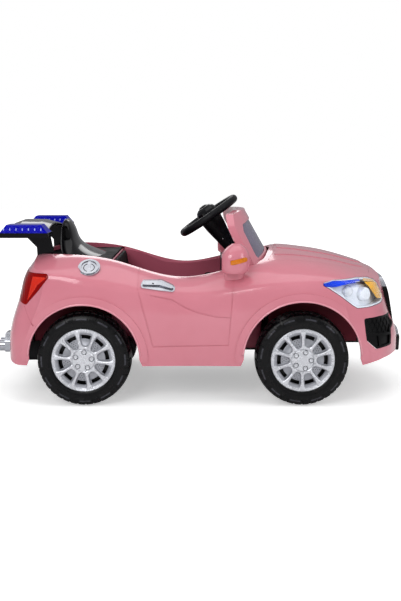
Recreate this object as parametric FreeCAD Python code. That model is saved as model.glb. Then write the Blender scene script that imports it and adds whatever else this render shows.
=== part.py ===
import FreeCAD, Part
import math
import os
from FreeCAD import Placement
from FreeCAD import Rotation
from FreeCAD import Vector

os.makedirs("parts", exist_ok=True)

# Sizes are in mm. +X points forward, +Y to the car's left, +Z up. The origin lies in the car's middle
# plane, between the axles, and on the ground. Heights are drawn with the axles at AXLE_Z, and save() lifts
# every piece by LIFT so that the tyres stand on the ground.

# Wheels and axles
WHEEL_RADIUS = 118.5
WHEEL_WIDTH = 84.0
WHEEL_OUTER_FACE = 272.0
TREAD_CROWN = 3.0
HUB_DEPTH = 16.0
FRONT_AXLE_X = 243.0
REAR_AXLE_X = -305.0
AXLE_Z = 110.0
AXLE_RADIUS = 6.0
HUB_RADIUS = 20.0
RIM_RADIUS = 80.0
RIM_SPOKES = 10
WHEEL_NUTS = 5
NUT_CIRCLE_RADIUS = 21.0
NUT_RADIUS = 5.2
RUNNING_CLEARANCE = 0.08

# Body
BODY_HALF_WIDTH = 272.0
BODY_WALL = 3.5
SILL_HEIGHT = 92.0
FRONT_ARCH_RADIUS = 147.0
REAR_ARCH_RADIUS = 139.0
ARCH_FLARE = 7.0
ARCH_LIP_WIDTH = 22.0
ARCH_LIP_RISE = 2.5
GROOVE_WIDTH = 3.0
GROOVE_DEPTH = 1.4
PANEL_GAP = 0.6
TRIM_DEPTH = 9.0
LENS_THICKNESS = 2.5

# Cockpit
TUB_WALL = 3.0
TUB_FLOOR = 112.0
TUB_REAR_X = -245.0
TUB_LEDGE_HEIGHT = 256.0
FLOOR_THICKNESS = 4.0
FLOOR_HEIGHT = 128.0
SEAT_HALF_WIDTH = 150.0
SEAT_HEIGHT = 205.0
DECK_HEIGHT = 351.0

# Steering
STEERING_TILT = 34.5
STEERING_X = 10.0
STEERING_Z = 455.0
STEERING_RADIUS = 82.0
STEERING_GRIP_RADIUS = 10.5
CRANK_LENGTH = 26.0
CRANK_PIN_RADIUS = 3.0
KING_PIN_Y = 172.0
KING_PIN_RADIUS = 5.0
TIE_ROD_HEIGHT = 165.0
TIE_ROD_THICKNESS = 5.0
LINK_PLAY = 1.3

# Drive
OUTPUT_TEETH = 44
OUTPUT_MODULE = 2.0
SMALL_TEETH = 12
LARGE_TEETH = 48
MOTOR_TEETH = 12
MOTOR_MODULE = 1.25
DRIVE_ANGLE = 5.0
GEAR_BACKLASH = 0.35
CASE_WALL = 3.0
IDLE_PIN_RADIUS = 3.0
MOTOR_RADIUS = 18.0
MOTOR_LENGTH = 56.0

# Light bar
BEACON_INNER_Y = 152.0
BEACON_OUTER_Y = 224.0
BEACON_BASE_Z = 412.0
BEACON_LENS_Z = 424.0
BEACON_TOP_Z = 444.0


def smooth(points):
    """A curve through (position, value) points that never overshoots them."""
    xs = [p[0] for p in points]
    ys = [p[1] for p in points]
    count = len(xs)
    rise = [(ys[i + 1] - ys[i]) / (xs[i + 1] - xs[i]) for i in range(count - 1)]
    slope = [rise[0]]
    for i in range(1, count - 1):
        turns = rise[i - 1] * rise[i] <= 0
        slope.append(0.0 if turns else 2 * rise[i - 1] * rise[i] / (rise[i - 1] + rise[i]))
    slope.append(rise[-1])

    def value(x):
        if x <= xs[0]:
            return ys[0] + slope[0] * (x - xs[0])
        if x >= xs[-1]:
            return ys[-1] + slope[-1] * (x - xs[-1])
        i = max(k for k in range(count - 1) if xs[k] <= x)
        h = xs[i + 1] - xs[i]
        t = (x - xs[i]) / h
        start = ys[i] * (1 + 2 * t) + slope[i] * h * t
        end = ys[i + 1] * (3 - 2 * t) + slope[i + 1] * h * (t - 1)
        return start * (1 - t) ** 2 + end * t * t

    return value


# The body's lines along X: how far its side draws in, its shoulder crease, the shoulder's top edge and the
# height of its middle.
side_drop = smooth([(-560, 58), (-505, 34), (-440, 15), (-380, 6), (-304, 2), (-200, 7), (-50, 12), (80, 9),
                    (243, 0), (340, 4), (400, 13), (450, 26), (500, 44), (560, 72)])
crease_z = smooth([(-505, 300), (-440, 325), (-382, 331), (-260, 309), (-178, 292), (-100, 281), (0, 280),
                   (80, 290), (150, 303), (300, 312), (390, 300), (450, 282), (560, 240)])
shoulder_y = smooth([(-505, 150), (-440, 178), (-300, 203), (-150, 206), (100, 206), (250, 205), (390, 185),
                     (450, 160), (560, 100)])
shoulder_z = smooth([(-505, 335), (-440, 355), (-400, 361), (-330, 360), (-270, 352), (-196, 339), (-150, 322),
                     (-110, 308), (-66, 306), (-20, 309), (46, 320), (150, 339), (250, 341), (320, 334),
                     (390, 318), (450, 298), (560, 250)])
middle_z = smooth([(-505, 338), (-440, 360), (-380, 367), (-300, 360), (-150, 326), (-60, 309), (0, 315),
                   (100, 346), (185, 371), (247, 368), (311, 359), (375, 343), (426, 328), (468, 309),
                   (560, 245)])
# The nose and tail: where they stand on the middle line at each height, and how they sweep back sideways.
nose_x = smooth([(40, 504), (90, 517), (116, 520), (150, 519), (165, 516.5), (180, 509.5), (195, 501.5),
                 (215, 493.5), (250, 483), (279, 475), (298, 470), (307, 464), (320, 448), (400, 330)])
nose_sweep = smooth([(0, 0), (60, 2), (110, 8), (150, 18), (200, 41), (240, 80), (300, 215)])
tail_x = smooth([(40, -505), (81, -516), (150, -515), (211, -502), (248, -488), (298, -474), (322, -466),
                 (342, -448), (400, -425)])
tail_sweep = smooth([(0, 0), (120, 1), (200, 13), (250, 46), (300, 140)])

# The grille's face on the middle line, ahead of the nose.
grille_x = smooth([(140, 521), (157, 516.5), (173, 512), (190, 508), (206, 505), (222, 502), (238, 498.5),
                   (255, 495), (271, 490), (287, 484), (300, 476), (330, 450)])

LIFT = WHEEL_RADIUS - AXLE_Z
HUB_FACE_Y = WHEEL_OUTER_FACE - HUB_DEPTH
AXLE_END_Y = HUB_FACE_Y + 8
STATIONS = [-560, -500, -440, -380, -310, -230, -150, -60, 30, 110, 180, 250, 320, 390, 450, 500, 560]
SECTION_STEPS = [0, 70, 135, 215, 243, 278, 313, 418, 523, 628, 733, 768, 803, 831, 911, 976, 1046]
COCKPIT = [(-428, 0), (-426, 105), (-402, 150), (-300, 175), (-150, 182), (0, 181), (90, 178), (138, 166),
           (160, 110), (176, 0)]


def box(x0, x1, y0, y1, z0, z1):
    return Part.makeBox(x1 - x0, y1 - y0, z1 - z0, Vector(x0, y0, z0))


def rod(start, end, radius):
    along = end.sub(start)
    return Part.makeCylinder(radius, along.Length, start, along)


def both(shape):
    return Part.makeCompound([shape, mirrored(shape)])


def mirrored(shape):
    return shape.mirror(Vector(0, 0, 0), Vector(0, 1, 0))


def joined(shapes):
    return shapes[0].multiFuse(shapes[1:]).removeSplitter()


def shrunk(points, gap):
    """The same closed outline drawn in by a gap."""
    count = len(points)
    area = sum(points[i - 1][0] * points[i][1] - points[i][0] * points[i - 1][1] for i in range(count))
    turn = 1.0 if area > 0 else -1.0
    result = []
    for i in range(count):
        (ax, ay), (bx, by), (cx, cy) = points[i - 1], points[i], points[(i + 1) % count]
        ux, uy = bx - ax, by - ay
        vx, vy = cx - bx, cy - by
        lu, lv = math.hypot(ux, uy), math.hypot(vx, vy)
        nx, ny = -uy / lu * turn, ux / lu * turn
        mx, my = -vy / lv * turn, vx / lv * turn
        scale = gap / (1 + nx * mx + ny * my)
        result.append((bx + (nx + mx) * scale, by + (ny + my) * scale))
    return result


def at(plane, a, b, level):
    if plane == "xy":
        return Vector(a, b, level)
    if plane == "xz":
        return Vector(a, level, b)
    return Vector(level, a, b)


def bends(before, corner, after):
    first = Vector(corner[0] - before[0], corner[1] - before[1], 0)
    second = Vector(after[0] - corner[0], after[1] - corner[1], 0)
    return abs(first.cross(second).z) > 1e-6


def outline(points, plane, level, radius):
    """A closed wire through the points, its corners rounded."""
    edges = []
    points = [p for i, p in enumerate(points) if bends(points[i - 1], p, points[(i + 1) % len(points)])]
    count = len(points)
    starts = []
    ends = []
    middles = []
    for i in range(count):
        (ax, ay), (bx, by), (cx, cy) = points[i - 1], points[i], points[(i + 1) % count]
        lu, lv = math.hypot(ax - bx, ay - by), math.hypot(cx - bx, cy - by)
        ux, uy, vx, vy = (ax - bx) / lu, (ay - by) / lu, (cx - bx) / lv, (cy - by) / lv
        half = math.acos(max(-1.0, min(1.0, ux * vx + uy * vy))) / 2
        back = min(radius / math.tan(half), 0.45 * lu, 0.45 * lv)
        fit = back * math.tan(half)
        reach = fit / math.sin(half) - fit
        wx, wy = ux + vx, uy + vy
        lw = math.hypot(wx, wy)
        starts.append((bx + ux * back, by + uy * back))
        ends.append((bx + vx * back, by + vy * back))
        middles.append((bx + wx / lw * reach, by + wy / lw * reach))
    for i in range(count):
        first, last = at(plane, *ends[i - 1], level), at(plane, *starts[i], level)
        edges.append(Part.makeLine(first, last))
        arc = Part.Arc(at(plane, *starts[i], level), at(plane, *middles[i], level), at(plane, *ends[i], level))
        edges.append(arc.toShape())
    return Part.Wire(edges)


def polygon(points, plane, level):
    corners = [at(plane, a, b, level) for a, b in points]
    return Part.makePolygon(corners + corners[:1])


def raised(wire, plane, depth):
    way = {"xy": Vector(0, 0, 1), "xz": Vector(0, 1, 0), "yz": Vector(1, 0, 0)}[plane]
    return Part.Face(wire).extrude(way * depth)


def prism(points, plane, low, high, radius=0.0):
    wire = outline(points, plane, low, radius) if radius else polygon(points, plane, low)
    return raised(wire, plane, high - low)


def loop(points, plane, low, high):
    """A solid over a closed smooth curve."""
    curve = Part.BSplineCurve()
    curve.interpolate([at(plane, a, b, low) for a, b in points], PeriodicFlag=True)
    return raised(Part.Wire(curve.toShape()), plane, high - low)


def strip(curve, plane, low, high, width):
    """A straight-sided band of a width along an open run of points."""
    left = []
    right = []
    for i in range(len(curve)):
        ax, ay = curve[max(i - 1, 0)]
        bx, by = curve[min(i + 1, len(curve) - 1)]
        length = math.hypot(bx - ax, by - ay)
        nx, ny = -(by - ay) / length * width / 2, (bx - ax) / length * width / 2
        left.append((curve[i][0] + nx, curve[i][1] + ny))
        right.append((curve[i][0] - nx, curve[i][1] - ny))
    return prism(left + right[::-1], plane, low, high)


def turned(profile, radius=0.0):
    """A solid turned about the Y axis from (radius, y) points."""
    wire = outline(profile, "xy", 0, radius) if radius else polygon(profile, "xy", 0)
    return Part.Face(wire).revolve(Vector(0, 0, 0), Vector(0, 1, 0), 360)


def section(x, inset):
    w = BODY_HALF_WIDTH - side_drop(x) - inset
    zc = crease_z(x) - 0.3 * inset
    ys = shoulder_y(x) - 0.6 * inset
    zs = shoulder_z(x) - 0.8 * inset
    top = middle_z(x) - inset
    low = 50 if inset > 0 else 60
    bend = ys + (w - 9 - ys) * 0.5
    half = [(w - 14, low), (w - 4, 130), (w, 195), (w - 2, zc - 30), (w - 9, zc - 4)]
    half += [(bend, zc + (zs - zc) * 0.58), (ys, zs), (ys * 0.5, top - (top - zs) * 0.25)]
    points = [Vector(x, y, z) for y, z in half]
    points += [Vector(x, 0, top)]
    points += [Vector(x, -y, z) for y, z in reversed(half)]
    curve = Part.BSplineCurve()
    curve.interpolate(Points=points, Parameters=SECTION_STEPS)
    return Part.Wire([curve.toShape(), Part.makeLine(points[-1], points[0])])


def end_block(line, sweep, way, inset):
    """All the space behind the nose, or ahead of the tail."""
    rows = []
    for i in range(21):
        y = 30.0 * i - 300
        rows.append([Vector(line(z) - way * (sweep(abs(y)) + inset), y, z) for z in range(30, 455, 25)])
    face = Part.BSplineSurface()
    face.interpolate(rows)
    return face.toShape().extrude(Vector(-way * 1500, 0, 0))


envelopes = {}


def envelope(inset):
    """The body's outer form drawn in by an inset, open space included."""
    if inset not in envelopes:
        form = Part.makeLoft([section(x, inset) for x in STATIONS], True, False)
        form = form.common(end_block(nose_x, nose_sweep, 1, inset))
        envelopes[inset] = form.common(end_block(tail_x, tail_sweep, -1, inset))
    return envelopes[inset]


def inlay(tool, outer, inner):
    """The layer of the body between two insets, within a tool."""
    return tool.common(envelope(outer)).cut(envelope(inner))


def save(name, shape):
    shape = shape.copy()
    shape.translate(Vector(0, 0, LIFT))
    shape.exportStep("parts/" + name + ".step")


# Outlines on the right side, as (x, z)
HEADLAMP = [(280, 303), (315, 312), (378, 314), (412, 310), (430, 304), (440, 293), (461, 257), (453, 244),
            (406, 239), (378, 239), (365, 247), (332, 272), (306, 289)]
HEADLAMP_AMBER = [(396, 309), (426, 302.5), (436, 293), (457.5, 260), (453, 253), (435, 257), (411, 289),
                  (396, 303)]
HEADLAMP_BLUE = [(288, 302), (315, 309), (387, 309.5), (385, 304.5), (348, 300), (320, 294), (296, 295)]
TAIL_LAMP = [(-470, 331), (-445, 327), (-392, 327), (-386, 319), (-415, 283), (-449, 246), (-500, 262)]
BUMPER_VENT = [(396, 213), (440, 214), (494, 209), (500, 183), (478, 176), (476, 138), (430, 134), (403, 158)]
# The body's underside from tail to nose, as (x, z)
SILL_LINE = [(-600, 118), (-512, 106), (-492, 97), (-474, SILL_HEIGHT), (380, SILL_HEIGHT), (405, 96),
             (430, 103), (455, 109), (485, 113), (600, 115)]
MIRROR_INDICATOR = [(60, 351), (60, 362), (97, 370), (103, 367), (102, 359), (68, 351)]
# Outlines on the nose and tail, as (y, z)
GRILLE = [(-84, 288), (84, 288), (104, 262), (78, 178), (-78, 178), (-104, 262)]
CHIN = [(-120, 142), (120, 142), (110, 101), (-110, 101)]
CHIN_STRIP = [(-110, 160), (110, 160), (122, 144), (-122, 144)]
DIFFUSER = [(-138, 161), (138, 161), (162, 140), (162, 99), (-162, 99), (-162, 140)]
# Outline of the bonnet as (x, y)
BONNET = [(188, 0), (178, 105), (158, 172), (300, 176), (388, 160), (428, 134), (438, 70), (440, 0)]
BONNET_STEP = [(193, 0), (184, 104), (178, 126), (300, 128), (384, 116), (416, 96), (431, 50), (433, 0)]
BONNET_RIDGE = [(196, 0), (192, 56), (300, 62), (390, 54), (422, 40), (428, 0)]
BONNET_STEP_RISE = 1.5
BONNET_RIDGE_RISE = 3.0


def right_prism(points, radius, inner=-122.0):
    return prism(points, "xz", -310, inner, radius)


def mirror_image(points):
    return points + [(a, -b) for a, b in points[-2:0:-1]]


def hood_prism(points, gap):
    return prism(shrunk(mirror_image(points), gap), "xy", 280, 420, 12)


def cockpit_tool(gap, low, high):
    return loop(shrunk(mirror_image(COCKPIT), gap), "xy", low, high)


def arch_tool(axle_x, radius):
    hollow = Part.makeCylinder(radius, 700, Vector(axle_x, -350, AXLE_Z), Vector(0, 1, 0))
    foot = radius + ARCH_FLARE
    skirt = [(axle_x - radius, AXLE_Z), (axle_x + radius, AXLE_Z), (axle_x + foot, SILL_HEIGHT),
             (axle_x + foot, 0), (axle_x - foot, 0), (axle_x - foot, SILL_HEIGHT)]
    return joined([hollow, prism(skirt, "xz", -350, 350)])


def arch_lip(axle_x, radius):
    ring = Part.makeCylinder(radius + ARCH_LIP_WIDTH, 700, Vector(axle_x, -350, AXLE_Z), Vector(0, 1, 0))
    ring = ring.cut(Part.makeCylinder(radius, 700, Vector(axle_x, -350, AXLE_Z), Vector(0, 1, 0)))
    ring = ring.cut(box(axle_x - 300, axle_x + 300, -350, 350, -100, AXLE_Z - 8))
    ring = ring.cut(box(axle_x - 300, axle_x + 300, -200, 200, -100, 400))
    lip = ring.common(envelope(-ARCH_LIP_RISE))
    return lip.cut(envelope(1.0))


def seams():
    """The moulded door outline and panel lines, as one tool for both sides."""
    lines = [
        [(-168, 345), (-168, 287), (-145, 199), (-131, 143), (57, 147), (63, 218), (69, 287), (71, 335)],
        [(-137, 272), (-83, 262), (-50, 242), (-13, 228), (28, 219), (61, 218)],
        [(-452, 244), (-440, 215), (-428, 196)],
        [(386, 238), (396, 213)],
    ]
    bands = [strip(line, "xz", -310, -190, GROOVE_WIDTH) for line in lines]
    return both(Part.makeCompound([band.cut(envelope(GROOVE_DEPTH)) for band in bands]))


def body():
    """The body shell and the bonnet cut from it."""
    skin = envelope(0).cut(envelope(BODY_WALL))
    skin = skin.cut(prism(SILL_LINE + [(600, 0), (-600, 0)], "xz", -400, 400))
    bonnet = [skin.common(hood_prism(BONNET, PANEL_GAP))]
    for points, rise in ((BONNET_STEP, BONNET_STEP_RISE), (BONNET_RIDGE, BONNET_RIDGE_RISE)):
        bonnet += inlay(hood_prism(points, 0), -rise, 1.0).Solids
    lips = []
    for axle_x, radius in ((FRONT_AXLE_X, FRONT_ARCH_RADIUS), (REAR_AXLE_X, REAR_ARCH_RADIUS)):
        lips += arch_lip(axle_x, radius).Solids
    skin = skin.multiFuse(lips)
    for axle_x, radius in ((FRONT_AXLE_X, FRONT_ARCH_RADIUS), (REAR_AXLE_X, REAR_ARCH_RADIUS)):
        skin = skin.cut(arch_tool(axle_x, radius))
    tools = [cockpit_tool(0, 230, 450), hood_prism(BONNET, 0)]
    for points, radius in ((HEADLAMP, 6), (TAIL_LAMP, 6), (BUMPER_VENT, 5)):
        tool = right_prism(points, radius)
        tools += [tool, mirrored(tool)]
    tools.append(prism(GRILLE, "yz", 440, 600, 12))
    tools.append(prism(DIFFUSER, "yz", -600, -480, 8))
    for tool in tools:
        skin = skin.cut(tool)
    skin = skin.cut(seams())
    return skin, joined(bonnet)


def under(line, low, high, drop):
    """A block across the car whose top follows a line of heights along X."""
    steps = [low + (high - low) * i / 14 for i in range(15)]
    curve = Part.BSplineCurve()
    curve.interpolate([Vector(x, -300, line(x) - drop) for x in steps])
    corners = [Vector(high, -300, line(high) - drop), Vector(high, -300, 0), Vector(low, -300, 0),
               Vector(low, -300, line(low) - drop)]
    sides = [Part.makeLine(corners[i], corners[i + 1]) for i in range(3)]
    return Part.Face(Part.Wire([curve.toShape()] + sides)).extrude(Vector(0, 600, 0))


# The steering axis: distances along it run down from the steering wheel's centre.
AXIS_SIN = math.sin(math.radians(STEERING_TILT))
AXIS_COS = math.cos(math.radians(STEERING_TILT))
PIN_DOWN = (STEERING_Z - CRANK_LENGTH * AXIS_SIN - TIE_ROD_HEIGHT) / AXIS_COS
TIE_ROD_X = STEERING_X + AXIS_SIN * PIN_DOWN - CRANK_LENGTH * AXIS_COS


def on_axis(down, back=0.0):
    x = STEERING_X + AXIS_SIN * down - AXIS_COS * back
    return Vector(x, 0, STEERING_Z - AXIS_COS * down - AXIS_SIN * back)


def column(start, end, radius, back=0.0):
    return rod(on_axis(start, back), on_axis(end, back), radius)


def steered(shape):
    """Stands a shape made about the Z axis on the steering axis."""
    shape.Placement = Placement(Vector(STEERING_X, 0, STEERING_Z), Rotation(Vector(0, 1, 0), -STEERING_TILT))
    return shape


def spun(profile):
    """A solid turned about the Z axis from (radius, z) points."""
    corners = [Vector(r, 0, z) for r, z in profile]
    return Part.Face(Part.makePolygon(corners + corners[:1])).revolve(Vector(0, 0, 0), Vector(0, 0, 1), 360)


SHAFT_END = 392.0
SHAFT_BORE = AXLE_RADIUS + RUNNING_CLEARANCE
TUB_HALF = [(TUB_REAR_X, 0), (TUB_REAR_X, 168), (-168, 168), (-146, 203), (78, 203), (100, 132), (150, 132),
            (150, 0)]
LEVER_X = 10.0
LEVER_Y = 160.0
LEVER_Z = 160.0
LEVER_PIN_RADIUS = 4.0
LEVER_PIN_HALF = 15.5
PEDAL_X = 72.0
PEDAL_Y = -70.0
PEDAL_PIN_RADIUS = 3.0
TUB_FLOOR_TOP = TUB_FLOOR + TUB_WALL


def drive_bay(grow):
    """Room under the seat for the gearbox's motor end, up to the bay's roof."""
    return box(TUB_REAR_X - 5, -169 + grow, -190, -80 + grow, TUB_FLOOR - 6, 160 + grow)


def cockpit_tub():
    low = mirror_image(TUB_HALF)
    lower = prism(low, "xy", TUB_FLOOR, TUB_LEDGE_HEIGHT + TUB_WALL, 14)
    upper = cockpit_tool(PANEL_GAP, TUB_LEDGE_HEIGHT, 420).common(box(TUB_REAR_X, 116, -300, 300, 200, 500))
    upper = upper.common(under(shoulder_z, -300, 200, 2.0))
    inside = prism(shrunk(low, TUB_WALL), "xy", TUB_FLOOR_TOP, TUB_LEDGE_HEIGHT, 11)
    room = cockpit_tool(PANEL_GAP + TUB_WALL, TUB_LEDGE_HEIGHT - 1, 500)
    room = room.common(box(TUB_REAR_X + TUB_WALL, 200, -300, 300, 200, 500))
    throat = room.common(prism(shrunk(low, TUB_WALL), "xy", TUB_LEDGE_HEIGHT - 1, 500, 11))
    above = room.common(box(-600, 600, -300, 300, TUB_LEDGE_HEIGHT + TUB_WALL, 500))
    tub = joined([lower, upper]).cut(inside).cut(throat).cut(above)
    console = box(LEVER_X - 32, LEVER_X + 34, LEVER_Y - 24, 201, TUB_FLOOR_TOP, SEAT_HEIGHT)
    console = console.cut(box(LEVER_X - 22, LEVER_X + 22, LEVER_Y - 6, LEVER_Y + 6, LEVER_Z - 20, 230))
    pin_bore = LEVER_PIN_RADIUS + RUNNING_CLEARANCE
    pin_reach = Vector(0, LEVER_PIN_HALF + 0.5, 0)
    pin_spot = Vector(LEVER_X, LEVER_Y, LEVER_Z)
    console = console.cut(rod(pin_spot.sub(pin_reach), pin_spot.add(pin_reach), pin_bore))
    hood = drive_bay(TUB_WALL).common(prism(low, "xy", TUB_FLOOR, 200, 14))
    return joined([tub, console, hood]).cut(column(150, 330, 12)).cut(drive_bay(0))


def floor_pan():
    under_tub = TUB_FLOOR - FLOOR_THICKNESS
    top = FLOOR_HEIGHT + FLOOR_THICKNESS
    rear = TUB_REAR_X - 1
    plates = [
        box(-150, 92, -244, 244, under_tub, TUB_FLOOR),
        box(rear - 4, 156, -136, 136, under_tub, TUB_FLOOR),
        box(rear - 4, rear, -136, 136, under_tub, top),
        box(152, 156, -136, 136, under_tub, top),
        box(-470, rear, -136, 136, FLOOR_HEIGHT, top),
        box(152, 430, -136, 136, FLOOR_HEIGHT, top),
    ]
    for y in (-130, 108):
        plates.append(box(REAR_AXLE_X - 16, REAR_AXLE_X + 16, y, y + 22, AXLE_Z - 16, FLOOR_HEIGHT))
    boss = column(356, 400, 14).common(box(150, 300, -40, 40, FLOOR_HEIGHT, 200))
    pan = joined(plates + [boss])
    pan = pan.cut(column(340, SHAFT_END + 2, SHAFT_BORE))
    pan = pan.cut(rod(Vector(REAR_AXLE_X, -200, AXLE_Z), Vector(REAR_AXLE_X, 200, AXLE_Z), AXLE_RADIUS))
    return pan.cut(motor_room(3.0)).cut(drive_bay(0))


def inner_arches():
    """Four plates that wall the wheels off, standing on the floor pan."""
    base = FLOOR_HEIGHT + FLOOR_THICKNESS
    walls = [box(-450, TUB_REAR_X - 7, 133, 136, base, 344), box(167, 400, 133, 136, base, 400)]
    walls = both(Part.makeCompound(walls)).common(envelope(BODY_WALL + 1.0))
    slot = box(TIE_ROD_X - 22, TIE_ROD_X + 22, -150, 150, TIE_ROD_HEIGHT - 14, TIE_ROD_HEIGHT + 12)
    return walls.cut(slot).cut(motor_room(2.0))


SWITCH_Y = -90.0
SWITCH_Z = 300.0
BUTTON_Y = -132.0
BUTTON_RADIUS = 9.0
DASH_X = 46.0
DASH_THICKNESS = 4.0


def dashboard():
    back = DASH_X + DASH_THICKNESS
    top = box(DASH_X, 108, -210, 210, 331, 331 + DASH_THICKNESS)
    face = box(DASH_X, back, -210, 210, TUB_LEDGE_HEIGHT + TUB_WALL, 333)
    within = cockpit_tool(PANEL_GAP + TUB_WALL + 0.4, 200, 400)
    switch_box = box(back, back + 11, SWITCH_Y - 13, SWITCH_Y + 13, SWITCH_Z - 14, SWITCH_Z + 14)
    dash = joined([top, face]).common(within)
    dash = joined([dash, switch_box, column(128, 160, 19)])
    dash = dash.cut(column(120, 180, SHAFT_BORE))
    dash = dash.cut(box(DASH_X, back + 8, SWITCH_Y - 10, SWITCH_Y + 10, SWITCH_Z - 11, SWITCH_Z + 11))
    pin_y = Vector(DASH_X + 5, SWITCH_Y - 12, SWITCH_Z)
    dash = dash.cut(rod(pin_y, pin_y.add(Vector(0, 24, 0)), 1.5 + RUNNING_CLEARANCE))
    hole = rod(Vector(DASH_X, BUTTON_Y, SWITCH_Z), Vector(back, BUTTON_Y, SWITCH_Z), BUTTON_RADIUS + 0.3)
    return dash.cut(hole)


def power_switch():
    rocker = box(DASH_X - 3, DASH_X + 8, SWITCH_Y - 9, SWITCH_Y + 9, SWITCH_Z - 9, SWITCH_Z + 9)
    pin = Vector(DASH_X + 5, SWITCH_Y - 11.5, SWITCH_Z)
    return joined([rocker, rod(pin, pin.add(Vector(0, 23, 0)), 1.5)])


def sound_button():
    cap = rod(Vector(DASH_X - 5, BUTTON_Y, SWITCH_Z), Vector(DASH_X + 9, BUTTON_Y, SWITCH_Z), BUTTON_RADIUS)
    rim = rod(Vector(DASH_X + DASH_THICKNESS, BUTTON_Y, SWITCH_Z), Vector(DASH_X + 6, BUTTON_Y, SWITCH_Z), 12)
    return joined([cap, rim])


GLASS_X = 143.8
GLASS_RAKE = 0.57
GLASS_BULGE = 45.0
SCREEN_HALF = [(0, 476), (100, 474), (158, 467), (180, 438), (191, 318), (150, 322), (90, 340), (0, 352)]
PANE_HALF = [(0, 450), (80, 448), (136, 440), (151, 424), (160, 352), (90, 362), (0, 372)]


def glass_layer(rear, front):
    rows = []
    for i in range(15):
        y = 30.0 * i - 210
        line = []
        for z in range(290, 530, 30):
            line.append(Vector(GLASS_X - GLASS_RAKE * (z - 400) - GLASS_BULGE * (y / 165) ** 2 + rear, y, z))
        rows.append(line)
    face = Part.BSplineSurface()
    face.interpolate(rows)
    return face.toShape().extrude(Vector(front - rear, 0, 0))


def across(points):
    return points + [(-a, b) for a, b in points[-2:0:-1]]


def windscreen():
    hole = prism(across(PANE_HALF), "yz", 0, 300, 10)
    frame = glass_layer(-13, 6).common(prism(across(SCREEN_HALF), "yz", 0, 300, 14)).cut(hole)
    frame = frame.cut(envelope(-0.2).cut(cockpit_tool(0, 200, 420)))
    pane = glass_layer(-1.5, 1.5).common(prism(shrunk(across(PANE_HALF), 0.3), "yz", 0, 300, 10))
    return frame, pane


MIRROR_Y = -248.0
MIRROR_FACE_X = 40.0
MIRROR_BACK_X = 48.0
MIRROR_RIM = 3.0


def dome(sizes, y, blunt_rear, blunt_front, grow):
    """A rounded form stacked up from rings of (height, rear, front, half width)."""
    rings = []
    for z, rear, front, half in sizes:
        middle, reach = (rear + front) / 2, (front - rear) / 2 + grow
        points = []
        for i in range(16):
            turn = 2 * math.pi * i / 16
            c, s = math.cos(turn), math.sin(turn)
            blunt = blunt_rear if c < 0 else blunt_front
            points.append(Vector(middle + math.copysign(abs(c) ** blunt, c) * reach, y + s * (half + grow), z))
        curve = Part.BSplineCurve()
        curve.interpolate(points, PeriodicFlag=True)
        rings.append(Part.Wire(curve.toShape()))
    return Part.makeLoft(rings, True, False)


def mirror_pod(grow):
    """The right mirror's dome, blunt towards the driver."""
    sizes = ((328, 46, 98, 26), (340, 37, 107, 33), (352, 36, 109, 35), (366, 37, 109, 35), (382, 44, 104, 30),
             (394, 55, 95, 20), (400.5, 66, 84, 9))
    return dome(sizes, MIRROR_Y, 0.6, 0.95, grow)


def mirrors():
    slot = right_prism(MIRROR_INDICATOR, 3, -262)
    lens = mirror_pod(0.8).common(right_prism(shrunk(MIRROR_INDICATOR, 0.3), 3, -262)).cut(mirror_pod(-3))
    foot = loop([(50, -230), (72, -233), (94, -230), (98, -219), (72, -211), (48, -219)], "xy", 300, 338)
    pod = joined([mirror_pod(0), foot]).cut(envelope(-0.3))
    behind = box(0, MIRROR_FACE_X, -320, -200, 332, 440)
    pocket = mirror_pod(-MIRROR_RIM).common(box(0, MIRROR_BACK_X, -320, -200, 334, 440))
    pod = pod.cut(slot.cut(mirror_pod(-3.2))).cut(behind).cut(pocket)
    plate = box(MIRROR_BACK_X - 1.1, MIRROR_BACK_X - 0.1, -320, -200, 334.3, 440)
    glass = mirror_pod(-MIRROR_RIM - 0.3).common(plate)
    return pod, glass, lens


LAMPS = ((354, 281, 26, 13), (396, 272, 34, 18))
LAMP_DEPTH = 12.0


def lamp_spot(x, z, depth):
    return Vector(x, depth + side_drop(x) - BODY_HALF_WIDTH, z)


def lamp(x, z, depth, radius):
    """A round lamp with a domed face, looking out of the right side."""
    spot = lamp_spot(x, z, depth)
    face = Part.makeSphere(radius, spot, Vector(0, -1, 0), 0, 90, 360)
    return joined([rod(spot, spot.add(Vector(0, LAMP_DEPTH, 0)), radius), face])


def lamp_bore(x, z, depth, radius):
    back = lamp_spot(x, z, depth).add(Vector(0, LAMP_DEPTH + 0.3, 0))
    return rod(Vector(x, -320, z), back, radius + 0.3)


def headlamps():
    lens = inlay(right_prism(shrunk(HEADLAMP, PANEL_GAP), 6), -0.4, LENS_THICKNESS)
    amber = inlay(right_prism(shrunk(HEADLAMP_AMBER, 0.3), 2), LENS_THICKNESS + 0.3, 10)
    blue = inlay(right_prism(shrunk(HEADLAMP_BLUE, 0.3), 1, -190), LENS_THICKNESS + 0.3, 10)
    housing = inlay(right_prism(shrunk(HEADLAMP, 1.4), 6, -142), LENS_THICKNESS + 0.3, 34)
    bowl = inlay(right_prism(shrunk(HEADLAMP, 5.0), 4), -5, 24)
    housing = housing.cut(bowl)
    housing = housing.cut(right_prism(HEADLAMP_AMBER, 2).cut(envelope(10.3)))
    housing = housing.cut(right_prism(HEADLAMP_BLUE, 1, -190).cut(envelope(10.3)))
    for size in LAMPS:
        housing = housing.cut(lamp_bore(*size))
    round_lamps = Part.makeCompound([lamp(*size) for size in LAMPS]).common(envelope(LENS_THICKNESS + 1.5))
    return lens, housing, round_lamps, amber, blue


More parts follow.
